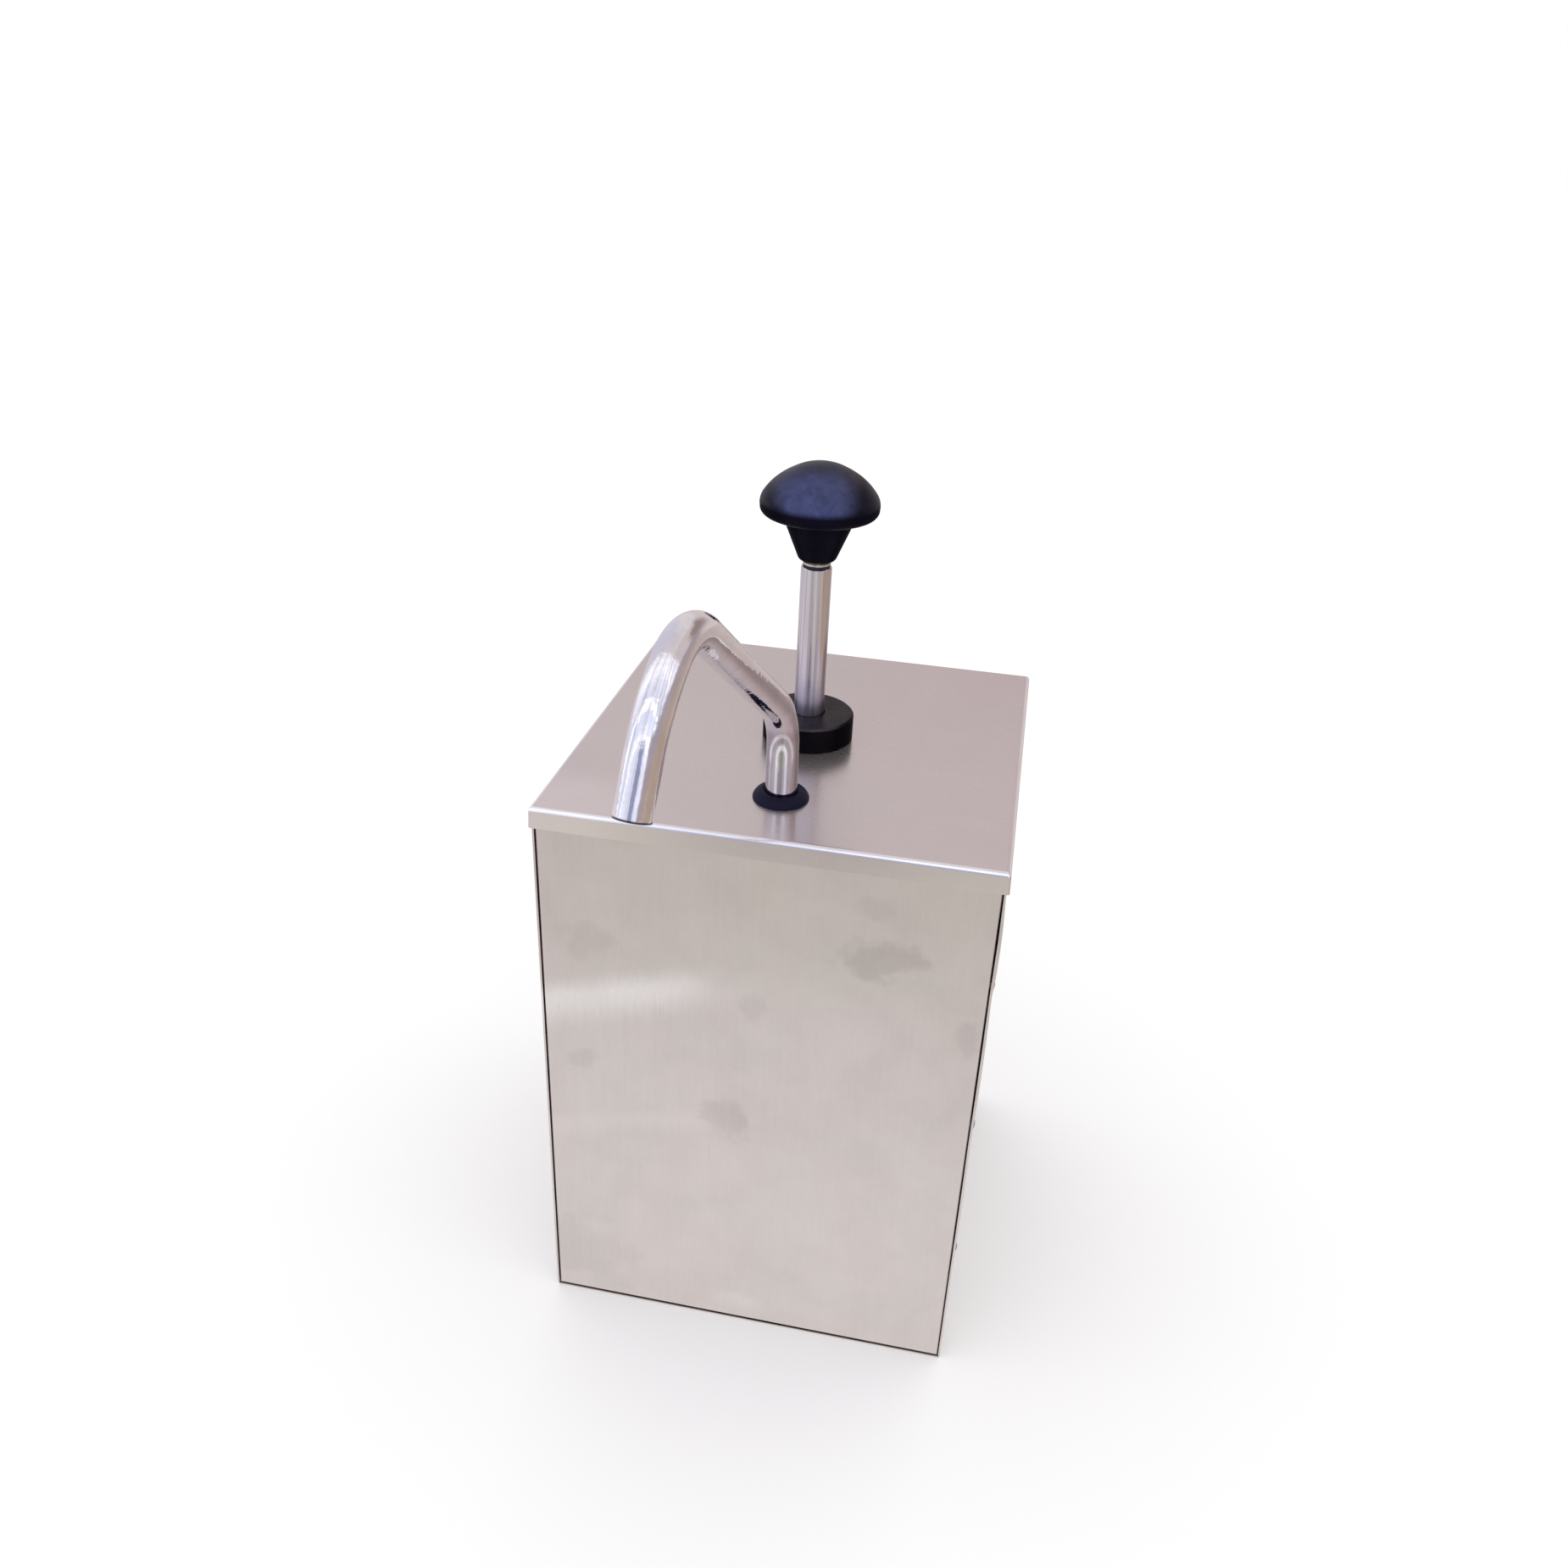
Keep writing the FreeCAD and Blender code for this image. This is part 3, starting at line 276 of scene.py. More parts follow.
def satin_sheet(name, tints, grain_axis, roughness, grain=1.0, metallic=1.0, marks_and_light=None):
    """Fine brushed stainless sheet with a drifting tint; an optional function of (tree, place,
    look) may add marks and painted light to it.
    """
    mat, tree, place = new_material(name)
    stretch = tuple(0.05 if axis == grain_axis else 1.0 for axis in "XYZ")
    along_grain = tree.vector("MULTIPLY", place, stretch)
    fine = tree.noise(along_grain, scale=3.4, detail=3.0, roughness=0.62)
    medium = tree.noise(along_grain, scale=0.55)
    cloud = tree.noise(place, scale=0.021, detail=3.0, roughness=0.55, distortion=0.6)
    aside = tree.vector("ADD", place, (310.0, 120.0, 77.0))
    patches = tree.noise(aside, scale=0.047, distortion=0.4)
    value = tree.add(
        tree.vary(patches, to=(1.0 - 0.035 * grain, 1.0 + 0.03 * grain)),
        tree.vary(medium, to=(-0.012 * grain, 0.012 * grain)),
    )
    look = SimpleNamespace(
        fine=fine, medium=medium, patches=patches,
        tint=tree.drift(cloud, *tints, span=(0.36, 0.64)),
        value=tree.add(value, tree.vary(fine, to=(-0.022 * grain, 0.022 * grain))),
        rough=tree.add(
            tree.vary(fine, to=(roughness - 0.035, roughness + 0.035)),
            tree.vary(patches, to=(-0.02, 0.02)),
        ),
        height=tree.mul(fine, 0.10),
    )
    if marks_and_light:
        marks_and_light(tree, place, look)
    tree.surface({
        "Base Color": tree.scale(look.tint, look.value),
        "Metallic": metallic,
        "Roughness": look.rough,
        "Anisotropic": 0.55,
        "Tangent": tree.new(
            "ShaderNodeTangent", direction_type="RADIAL", axis=grain_axis
        ).outputs[0],
        "Normal": tree.bump(look.height, strength=1.0, distance=0.00003),
    })
    return mat


def turned_frame(tree, x, z, centre, degrees):
    """Distances along and across a direction, from a centre on the front face."""
    cosine, sine = math.cos(math.radians(degrees)), math.sin(math.radians(degrees))
    off_x, off_z = tree.sub(x, centre[0]), tree.sub(z, centre[1])
    along = tree.add(tree.mul(off_x, cosine), tree.mul(off_z, sine))
    across = tree.sub(tree.mul(off_z, cosine), tree.mul(off_x, sine))
    return along, across


def front_stains_and_glare(tree, place, look):
    """Soft stains and painted highlight bands of glare, on the front face only."""
    x, y, z = tree.parts(place)
    wobble = tree.noise(place, scale=0.09, detail=3.0, roughness=0.6)
    front = tree.remap(y, span=(-90.0, -91.0))
    stained = None
    for centre_x, centre_z, half_x, half_z, depth, turn in STAINS:
        along, across = turned_frame(tree, x, z, (centre_x, centre_z), turn)
        away = tree.hypot(tree.div(along, half_x), tree.div(across, half_z))
        away = tree.add(away, tree.remap(wobble, span=(0.25, 0.75), to=(-0.55, 0.55)))
        spot = tree.mul(tree.ease(away, span=(1.15, 0.45)), depth)
        stained = spot if stained is None else tree.add(stained, spot)
    stained = tree.mul(stained, front)
    look.value = tree.sub(look.value, stained)
    look.rough = tree.add(look.rough, tree.mul(stained, 0.8))
    for centre_x, centre_z, reach, width, gain, turn in GLARE_BANDS:
        # painted glare: sharper above than below, broken up by the grain
        along, across = turned_frame(tree, x, z, (centre_x, centre_z), turn)
        fray = tree.remap(look.medium, span=(0.2, 0.8), to=(-0.12 * width, 0.12 * width))
        across = tree.add(across, fray)
        lengthwise = tree.ease(tree.abs(along), span=(reach, reach * 0.35))
        crosswise = tree.mul(
            tree.ease(across, span=(-width * 1.5, 0.0)), tree.ease(across, span=(width, 0.0))
        )
        streaks = tree.vary(look.fine, to=(0.86, 1.12))
        glow = tree.mul(tree.mul(lengthwise, crosswise), tree.mul(streaks, front))
        look.value = tree.add(look.value, tree.mul(glow, gain))
        look.tint = tree.mix(tree.mul(glow, min(1.0, gain * 4.0)), look.tint, GLARE_TINT)


def lid_dent_and_painted_light(tree, place, look):
    """A small dent, a brighter front left corner, a painted highlight on the bend and a painted
    warmer reflection tone on the skirt.
    """
    x, y, _ = tree.parts(place)
    away = tree.hypot(tree.sub(x, LID_DENT.x), tree.sub(y, LID_DENT.y))
    dent = tree.ease(away, span=(0.0, LID_DENT.radius), to=(1.0, 0.0))
    look.height = tree.sub(look.height, tree.mul(dent, LID_DENT.depth))

    # a brighter front left corner
    away = tree.hypot(
        tree.div(tree.add(x, -LID_BRIGHT_CORNER.x), LID_BRIGHT_CORNER.half_x),
        tree.div(tree.add(y, -LID_BRIGHT_CORNER.y), LID_BRIGHT_CORNER.half_y),
    )
    look.value = tree.add(look.value, tree.ease(away, span=(0.2, 1.0), to=(0.13, 0.0)))
    look.value = tree.sub(look.value, tree.ease(y, span=(-30.0, 70.0), to=(0.0, 0.045)))

    # painted highlight: the bend's colour is brightened and its steel made smoother; painted
    # reflection: the skirt under it takes the box's warmer tone, darker near the middle
    facing_up = tree.normal_z("True Normal")
    bend_highlight = tree.mul(
        tree.ease(facing_up, span=(0.10, 0.30)), tree.ease(facing_up, span=(0.999, 0.93))
    )
    bend_highlight = tree.mul(bend_highlight, tree.vary(look.patches, to=(0.86, 1.0)))
    from_middle = tree.ease(tree.abs(tree.sub(x, 14.0)), span=(12.0, 62.0))
    skirt_reflection_tint = tree.mix(from_middle, SKIRT_REFLECTION_MIDDLE_TINT, SKIRT_REFLECTION_END_TINT)
    look.tint = tree.mix(tree.ease(facing_up, span=(0.35, 0.15)), look.tint, skirt_reflection_tint)
    look.tint = tree.mix(bend_highlight, look.tint, BEND_HIGHLIGHT_TINT)
    look.rough = tree.mix(bend_highlight, look.rough, BEND_HIGHLIGHT_ROUGHNESS)


# ------------------------------------------------------------------ spout, bars, plastics, rubber


def spout_path():
    """Stations about 1 mm apart: reach outward, height, direction in degrees, whether bent."""
    straight_step, bend_step = 1.2, 0.9
    stations, reach, height, angle = [], 0.0, SPOUT_FOOT, 90.0
    for size, turn in SPOUT_RUNS:
        heading = math.radians(angle)
        if not turn:
            count = max(2, int(size / straight_step))
            for k in range(count):
                stations.append((
                    reach + math.cos(heading) * size * k / count,
                    height + math.sin(heading) * size * k / count,
                    angle, False,
                ))
            reach += math.cos(heading) * size
            height += math.sin(heading) * size
        else:
            count = max(6, int(math.radians(abs(turn)) * size / bend_step))
            centre_x = reach + size * math.sin(heading)
            centre_z = height - size * math.cos(heading)
            for k in range(count + 1):
                here = angle + turn * k / count
                reach = centre_x - size * math.sin(math.radians(here))
                height = centre_z + size * math.cos(math.radians(here))
                if k < count:
                    stations.append((reach, height, here, True))
            angle += turn
    stations.append((reach, height, angle, False))
    return stations


def mirror_tube(name):
    """Polished tube: faint ripples, painted reflection bands at its foot, a painted dark shade line
    at the cut end.
    """
    mat, tree, place = new_material(name)
    haze = tree.noise(place, scale=0.11, detail=3.0, roughness=0.6)
    fleck = tree.noise(place, scale=2.6, roughness=0.6)
    tint = tree.drift(haze, (0.80, 0.785, 0.80), (0.87, 0.86, 0.875))

    # painted reflection: the foot is darkened, with brighter arches over where the bend begins and
    # a darker core;
    # they face ahead and a little to the right
    x, y, z = tree.parts(place)
    off_y = tree.sub(y, SPOUT_Y)
    facing, aside = 0.985, 0.174
    sideways = tree.add(tree.mul(x, facing), tree.mul(off_y, aside))
    sideways = tree.add(tree.div(sideways, SPOUT_OUTER), 0.06)
    ahead = tree.sub(tree.mul(x, aside), tree.mul(off_y, facing))

    def arch(half_width, spring, rise, thickness):
        """An arch whose curve begins at height spring; widths are shares of the tube's radius."""
        above = tree.math("MAXIMUM", tree.sub(z, spring), 0.0)
        away = tree.hypot(tree.div(sideways, half_width), tree.div(above, rise))
        off_line = tree.abs(tree.sub(away, 1.0))
        return tree.ease(off_line, span=(thickness, thickness * 0.25))

    inner = arch(half_width=0.29, spring=281.5, rise=5.5, thickness=0.42)
    outer = tree.mul(
        arch(half_width=0.66, spring=282.0, rise=10.5, thickness=0.16),
        tree.ease(z, span=(277.0, 283.0), to=(0.1, 1.0)),
    )
    reflection_core = tree.ease(tree.abs(sideways), span=(0.14, 0.04), to=(0.0, 0.20))
    painted_reflection_bands = tree.add(0.66, tree.mul(tree.math("MAXIMUM", inner, outer), 0.50))
    painted_reflection_bands = tree.sub(painted_reflection_bands, reflection_core)
    painted_reflection_zone = tree.mul(tree.ease(z, span=(296.0, 290.5)), tree.ease(ahead, span=(0.0, 1.5)))
    tint = tree.scale(tint, tree.remap(painted_reflection_zone, span=(0.0, 1.0), to=(1.0, painted_reflection_bands)))

    # the cut end: distance past it along the tube's last direction; the last millimetre is darkened
    # as painted shade
    end_reach, end_height, end_angle, _ = spout_path()[-1]
    reach = tree.add(
        tree.mul(x, math.cos(SPOUT_BEARING)), tree.mul(off_y, math.sin(SPOUT_BEARING))
    )
    past_end = tree.add(
        tree.mul(tree.sub(reach, end_reach), math.cos(math.radians(end_angle))),
        tree.mul(tree.sub(z, end_height - SIT), math.sin(math.radians(end_angle))),
    )
    tint = tree.scale(tint, tree.ease(past_end, span=(-1.0, -0.5), to=(1.0, 0.12)))

    small_ripple = tree.mul(tree.noise(place, scale=0.62, detail=1.0), 0.11)
    tree.surface({
        "Base Color": tint,
        "Metallic": 1.0,
        "Roughness": tree.add(
            tree.remap(haze, span=(0.35, 0.7), to=(0.05, 0.085)),
            tree.remap(fleck, span=(0.55, 0.8), to=(0.0, 0.02)),
        ),
        "Normal": tree.bump(
            tree.add(tree.noise(place, scale=0.16), small_ripple), strength=0.25, distance=0.0006
        ),
    })
    return mat


def turned_steel(name, tone, roughness, foot_reflection=None):
    """Ground bar: streaks along the axis, thin tool rings; an optional (full below, gone above)
    span adds a painted darker, bluer reflection of the collar near the foot, with rougher steel
    there.
    """
    mat, tree, place = new_material(name)
    streak = tree.noise(
        tree.vector("MULTIPLY", place, (1.0, 1.0, 0.012)), scale=0.75, detail=3.0, roughness=0.65
    )
    rings = tree.noise(tree.vector("MULTIPLY", place, (0.3, 0.3, 7.0)), roughness=0.6)
    haze = tree.noise(place, scale=0.07)
    dark = tuple(v * 0.74 for v in tone)
    light = tuple(min(1.0, v * 1.1) for v in tone)
    tint = tree.drift(streak, dark, light, span=(0.34, 0.66))
    rough = tree.add(
        tree.vary(streak, to=(roughness - 0.04, roughness + 0.05)),
        tree.vary(haze, to=(-0.02, 0.03)),
    )
    if foot_reflection:
        full, gone = foot_reflection
        _, _, z = tree.parts(place)
        ragged = tree.add(z, tree.vary(haze, to=(-1.5, 1.5)))
        foot_reflected = tree.ease(ragged, span=(gone, full))
        # painted reflection of the dark collar: darker and bluer toward the foot; the steel is also
        # rougher there
        tint = tree.mix(foot_reflected, tint, tree.vector("MULTIPLY", tint, (0.76, 0.76, 0.86)))
        rough = tree.add(rough, tree.mul(foot_reflected, 0.16))
    tree.surface({
        "Base Color": tint,
        "Metallic": 1.0,
        "Roughness": rough,
        "Normal": tree.bump(rings, strength=0.06, distance=0.00003),
    })
    return mat


def moulded_black(name, deep, pale, roughness, grain, shine, facing_span, sheen_tint):
    """Moulded plastic with a fine grain and a painted sheen. The shine grows where the surface
    looks up, fades toward the edges of the view and takes the given tint; sides and undersides stay
    matt."""
    mat, tree, place = new_material(name)
    grit = tree.noise(place, scale=2.3, detail=3.0, roughness=0.65)
    pits = tree.cells(place, scale=1.7)
    drift = tree.noise(place, scale=0.05, detail=3.0, roughness=0.55)
    blotch = tree.add(tree.mul(drift, 0.7), tree.mul(grit, 0.3))

    painted_sheen = tree.ease(tree.normal_z("Normal"), facing_span, shine)
    # painted sheen: dimmer where the surface turns sideways or upright in the view
    to_view = tree.new(
        "ShaderNodeVectorTransform", vector_type="NORMAL", convert_from="WORLD",
        convert_to="CAMERA",
    )
    tree.feed(to_view.inputs[0], tree.new("ShaderNodeNewGeometry").outputs["Normal"])
    sideways, upright, _ = tree.parts(to_view.outputs[0])
    off_centre = tree.abs(tree.add(sideways, 0.05))
    painted_sheen = tree.mul(painted_sheen, tree.ease(off_centre, span=(0.34, 0.68), to=(1.0, 0.08)))
    painted_sheen = tree.mul(painted_sheen, tree.mul(
        tree.ease(upright, span=(0.47, 0.78), to=(1.0, 0.18)),
        tree.ease(upright, span=(0.25, 0.6), to=(0.88, 1.0)),
    ))
    smears = tree.noise(place, scale=0.16, detail=3.0, roughness=0.6, distortion=0.4)
    painted_sheen = tree.mul(painted_sheen, tree.ease(smears, span=(0.34, 0.66), to=(0.78, 1.12)))

    height = tree.add(tree.mul(grit, 0.7), tree.mul(pits, 0.5))
    tree.surface({
        "Base Color": tree.mix(tree.remap(blotch, span=(0.35, 0.65)), deep, pale),
        "Roughness": tree.add(
            tree.vary(drift, to=(roughness - 0.05, roughness + 0.05)),
            tree.vary(grit, to=(-0.03, 0.03)),
        ),
        "Specular IOR Level": tree.mul(painted_sheen, tree.vary(grit, to=(0.85, 1.15))),
        "Specular Tint": sheen_tint,
        "IOR": 1.95,
        "Normal": tree.bump(height, strength=grain, distance=0.00010),
    })
    return mat


def soft_rubber(name, deep, pale, roughness, shine=0.3):
    """Matt rubber with a cloudy bloom."""
    mat, tree, place = new_material(name)
    bloom = tree.noise(place, scale=0.14, detail=3.0, roughness=0.6)
    grit = tree.noise(place, scale=3.2, roughness=0.6)
    tree.surface({
        "Base Color": tree.drift(bloom, deep, pale),
        "Roughness": tree.add(
            tree.vary(bloom, to=(roughness - 0.06, roughness + 0.06)),
            tree.vary(grit, to=(-0.03, 0.03)),
        ),
        "Specular IOR Level": shine,
        "Normal": tree.bump(grit, strength=0.15, distance=0.00008),
    })
    return mat


def milky_plastic(name):
    """Machined food-grade plastic: off-white, faint tool rings, a little light inside."""
    mat, tree, place = new_material(name)
    cloud = tree.noise(place, scale=0.06, detail=3.0)
    rings = tree.noise(tree.vector("MULTIPLY", place, (0.05, 0.05, 3.0)), roughness=0.6)
    tree.surface({
        "Base Color": tree.drift(cloud, (0.74, 0.73, 0.69), (0.80, 0.79, 0.76)),
        "Roughness": tree.vary(rings, to=(0.36, 0.48)),
        "Subsurface Weight": 0.15,
        "Subsurface Radius": (0.002, 0.0018, 0.0014),
        "Normal": tree.bump(rings, strength=0.12, distance=0.00005),
    })
    return mat


def turned_brass(name):
    """Lathe-turned brass with patches of tarnish."""
    mat, tree, place = new_material(name)
    tarnish = tree.noise(place, scale=0.4, detail=3.0, roughness=0.6)
    rings = tree.noise(tree.vector("MULTIPLY", place, (0.05, 0.05, 4.0)), roughness=0.6)
    tree.surface({
        "Base Color": tree.drift(tarnish, (0.52, 0.36, 0.13), (0.70, 0.52, 0.22)),
        "Metallic": 1.0,
        "Roughness": tree.vary(rings, to=(0.22, 0.36)),
        "Normal": tree.bump(rings, strength=0.1, distance=0.00004),
    })
    return mat


# ------------------------------------------------------------------ the materials

box_steel = satin_sheet(
    "satin_box", tints=((0.692, 0.637, 0.614), (0.684, 0.640, 0.602)), grain_axis="Z",
    roughness=0.30, marks_and_light=front_stains_and_glare,
)
# a film of wiped dirt dulls the lid's steel a little
lid_steel = satin_sheet(
    "satin_lid", tints=((0.664, 0.586, 0.590), (0.656, 0.585, 0.588)), grain_axis="X",
    roughness=0.25, grain=0.4, metallic=0.90, marks_and_light=lid_dent_and_painted_light,
)
pot_steel = satin_sheet(
    "satin_pot", tints=((0.66, 0.64, 0.62), (0.62, 0.61, 0.60)), grain_axis="Z", roughness=0.24
)
tube_steel = mirror_tube("mirror_tube")
rod_steel = turned_steel(
    "ground_bar", tone=(0.70, 0.680, 0.705), roughness=0.17, foot_reflection=(280.5, 294.0)
)
part_steel = turned_steel("turned_parts", tone=(0.62, 0.61, 0.61), roughness=0.24)
wire_steel = turned_steel("spring_wire", tone=(0.52, 0.51, 0.51), roughness=0.28)
rivet_steel = turned_steel("rivet_steel", tone=(0.26, 0.235, 0.235), roughness=0.34)
knob_black = moulded_black(
    "knob_plastic", deep=(0.0026, 0.0021, 0.0044), pale=(0.0042, 0.0036, 0.0080),
    roughness=0.42, grain=0.35, shine=(0.03, 1.0), facing_span=(0.02, 0.42),
    sheen_tint=(0.37, 0.45, 1.0, 1.0),
)
collar_black = moulded_black(
    "collar_plastic", deep=(0.0028, 0.0022, 0.0032), pale=(0.0044, 0.0036, 0.0050),
    roughness=0.36, grain=0.2, shine=(0.03, 0.40), facing_span=(0.3, 0.9),
    sheen_tint=(0.92, 0.74, 1.0, 1.0),
)
grommet_black = soft_rubber(
    "grommet_rubber", deep=(0.0040, 0.0034, 0.0185), pale=(0.0060, 0.0050, 0.0235),
    roughness=0.46, shine=0.13,
)
ring_black = soft_rubber(
    "ring_rubber", deep=(0.012, 0.012, 0.013), pale=(0.024, 0.024, 0.025), roughness=0.66
)
seal_red = soft_rubber(
    "silicone_seal", deep=(0.24, 0.030, 0.018), pale=(0.34, 0.045, 0.028), roughness=0.42
)
plain_white = milky_plastic("milled_white")
brass = turned_brass("turned_brass")

SLOT_LOOK = {
    "brushed_steel_lid": lid_steel,
    "brushed_steel_box": box_steel,
    "polished_steel": tube_steel,
    "turned_steel": part_steel,
    "spring_steel": wire_steel,
    "black_plastic": collar_black,
    "white_plastic": plain_white,
    "black_rubber": ring_black,
    "red_seal": seal_red,
    "brass": brass,
}
# nodes that don't take their slot's look
OWN_LOOK = {
    "shell_rivets": rivet_steel,
    "pot": pot_steel,
    "plunger_rod": rod_steel,
    "knob": knob_black,
    "spout_grommet": grommet_black,
}

node_slot = {part["node"]: part["material_slot"] for part in frame["record"]["subparts"]}

for node, obj in frame["nodes"].items():
    obj.data.materials.clear()
    obj.data.materials.append(OWN_LOOK.get(node, SLOT_LOOK[node_slot[node]]))


# ------------------------------------------------------------------ mesh helpers


def piece(name, verts, faces, mat, node, body=None, weighted=True):
    """A closed mesh that replaces its node and rides on the node's body unless told another."""
    mesh = bpy.data.meshes.new(name)
    mesh.from_pydata([(x * MM, y * MM, (z - SIT) * MM) for x, y, z in verts], [], faces)
    bm = bmesh.new()
    bm.from_mesh(mesh)
    bmesh.ops.remove_doubles(bm, verts=bm.verts, dist=1e-7)
    bmesh.ops.recalc_face_normals(bm, faces=bm.faces)
    if bm.calc_volume(signed=True) < 0:
        bmesh.ops.reverse_faces(bm, faces=bm.faces)
    bm.to_mesh(mesh)
    bm.free()
    for polygon in mesh.polygons:
        polygon.use_smooth = True
    mesh.set_sharp_from_angle(angle=math.radians(40))
    obj = bpy.data.objects.new(name, mesh)
    bpy.context.scene.collection.objects.link(obj)
    mesh.materials.append(mat)
    if weighted:
        modifier = obj.modifiers.new("weighted", "WEIGHTED_NORMAL")
        modifier.mode = "FACE_AREA"
        modifier.weight = 50
        modifier.keep_sharp = True
    if body is None:
        bodies = frame["record"]["behaviour"]["bodies"]
        body = next(key for key, members in bodies.items() if node in members)
    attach(obj, body)
    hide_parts(node)
    return obj


def bridge(row, following, closed=True):
    """Quads between two rows of vertex numbers."""
    count = len(row)
    return [
        (row[k], row[(k + 1) % count], following[(k + 1) % count], following[k])
        for k in range(count if closed else count - 1)
    ]


def arc(start, end, radius, step):
    """Points after start up to end, step degrees apart. The arc bulges to the right of the way,
    or to the left where radius is negative."""
    leftward = radius < 0
    radius = abs(radius)
    start, end = Vector(start), Vector(end)
    chord = end - start
    left = Vector((-chord.y, chord.x)).normalized()
    rise = math.sqrt(max(radius * radius - chord.length_squared / 4, 0.0))
    centre = (start + end) / 2 + left * (-rise if leftward else rise)
    first = math.atan2(start.y - centre.y, start.x - centre.x)
    last = math.atan2(end.y - centre.y, end.x - centre.x)
    if leftward:
        while last > first:
            last -= math.tau
    else:
        while last < first:
            last += math.tau
    count = max(2, int(math.ceil(abs(math.degrees(last - first)) / step)))
    angles = [first + (last - first) * k / count for k in range(1, count)]
    points = [(centre.x + radius * math.cos(a), centre.y + radius * math.sin(a)) for a in angles]
    return points + [tuple(end)]


def eased(points, radii, steps):
    """A closed outline with its corners rounded; a radius of 0 keeps a corner sharp."""
    out = []
    for k, radius in enumerate(radii):
        corner = Vector(points[k])
        back = Vector(points[k - 1]) - corner
        onward = Vector(points[(k + 1) % len(points)]) - corner
        turn = back.angle(onward, math.pi)
        nearly_straight = abs(math.pi - turn) < math.radians(12)
        if radius <= 0 or nearly_straight or min(back.length, onward.length) < 1e-6:
            out.append(tuple(corner))
            continue
        cut = radius / math.tan(turn / 2)
        limit = min(back.length, onward.length) * 0.45
        if cut > limit:
            radius, cut = radius * limit / cut, limit
        back.normalize()
        onward.normalize()
        centre = corner + (back + onward).normalized() * (radius / math.sin(turn / 2))
        start, end = corner + back * cut, corner + onward * cut
        first = math.atan2(start.y - centre.y, start.x - centre.x)
        last = math.atan2(end.y - centre.y, end.x - centre.x)
        while last - first > math.pi:
            last -= math.tau
        while last - first < -math.pi:
            last += math.tau
        for j in range(steps + 1):
            a = first + (last - first) * j / steps
            out.append((centre.x + radius * math.cos(a), centre.y + radius * math.sin(a)))
    return out


def split_long(points, reach):
    """The same closed outline with sides divided so that none is longer than reach."""
    out = []
    for k, point in enumerate(points):
        start, end = Vector(point), Vector(points[(k + 1) % len(points)])
        count = max(1, int(math.ceil((end - start).length / reach)))
        out += [tuple(start.lerp(end, j / count)) for j in range(count)]
    return out


def turned_mesh(outline, segments, centre_y=0.0):
    """Vertices and faces of a closed (r, z) outline turned round a vertical axis."""
    verts, faces, rows = [], [], []
    for r, z in outline:
        count = 1 if r < 1e-5 else segments
        rows.append(range(len(verts), len(verts) + count))
        if count == 1:
            verts.append((0.0, centre_y, z))
            continue
        angles = [math.tau * k / segments for k in range(segments)]
        verts += [(r * math.cos(a), centre_y + r * math.sin(a), z) for a in angles]
    for row, following in zip(rows, rows[1:] + rows[:1]):
        if len(row) == 1 and len(following) == 1:
            continue
        if len(row) == 1:
            faces += [
                (row[0], following[(k + 1) % segments], following[k]) for k in range(segments)
            ]
        elif len(following) == 1:
            faces += [(row[k], row[(k + 1) % segments], following[0]) for k in range(segments)]
        else:
            faces += bridge(row, following)
    return verts, faces


def turned_piece(
    name, corners, mat, node, segments, steps=4, reach=None, centre_y=0.0, weighted=True
):
    """A turned body. Corners are (r, z, rounding), run anticlockwise; a corner reached by an
    arc adds (arc radius, degrees per step), the radius negative where the arc is hollow."""
    points, radii = [], []
    for r, z, rounding, *bow in corners:
        added = arc(points[-1], (r, z), *bow) if bow else [(r, z)]
        points += added
        radii += [0.0] * (len(added) - 1) + [rounding]
    outline = eased(points, radii, steps)
    if reach:
        outline = split_long(outline, reach)
    verts, faces = turned_mesh(outline, segments, centre_y)
    piece(name, verts, faces, mat, node, weighted=weighted)


# ------------------------------------------------------------------ turned parts

CAP_EDGE_R, CAP_EDGE_Z, CAP_RISE = 12.0, 378.9, 3.2
CAP_RADIUS = (CAP_EDGE_R ** 2 + CAP_RISE ** 2) / (2 * CAP_RISE)

KNOB = [
    (5.22, 343.0, 0.2), (7.2, 343.0, 0.5), (7.9, 343.8, 0.4), (12.9, 356.0, 0.0),
    (13.9, 359.5, 0.6),
    (15.5, 360.8, 0.0, -1.6, 10),
    (21.1, 361.4, 0.0),
    (23.85, 363.8, 0.0, 3.2, 8),
    (24.0, 365.7, 0.0),
    (23.0, 369.3, 0.0, 7.0, 5),
    (19.5, 373.6, 0.0, 26.0, 2),
    (CAP_EDGE_R, CAP_EDGE_Z, 0.0, 30.0, 2.5),
    (0.0, CAP_EDGE_Z + CAP_RISE, 0.0, CAP_RADIUS, 3),
    (0.0, 359.4, 0.0), (5.22, 359.4, 0.0),
]
WASHER = [
    (3.95, SPACER_TOP, 0.12), (5.6, SPACER_TOP, 0.12), (5.8, 341.2, 0.12),
    (5.8, 342.0, 0.12), (5.6, 342.2, 0.12), (3.95, 342.2, 0.12),
]
SPACER = [
    (3.95, ROD_TOP, 0.12), (5.55, ROD_TOP, 0.12), (5.55, SPACER_TOP, 0.12),
    (3.95, SPACER_TOP, 0.12),
]
ROD = [
    (0.0, 142.6, 0.0), (3.4, 142.6, 0.15), (4.0, 143.2, 0.15), (4.0, 164.0, 0.1),
    (ROD_RADIUS, 164.0, 0.3), (ROD_RADIUS, 339.65, 0.3), (6.0, ROD_TOP, 0.2),
    (3.88, ROD_TOP, 0.1), (3.88, 322.0, 0.1), (0.0, 320.0, 0.0),
]
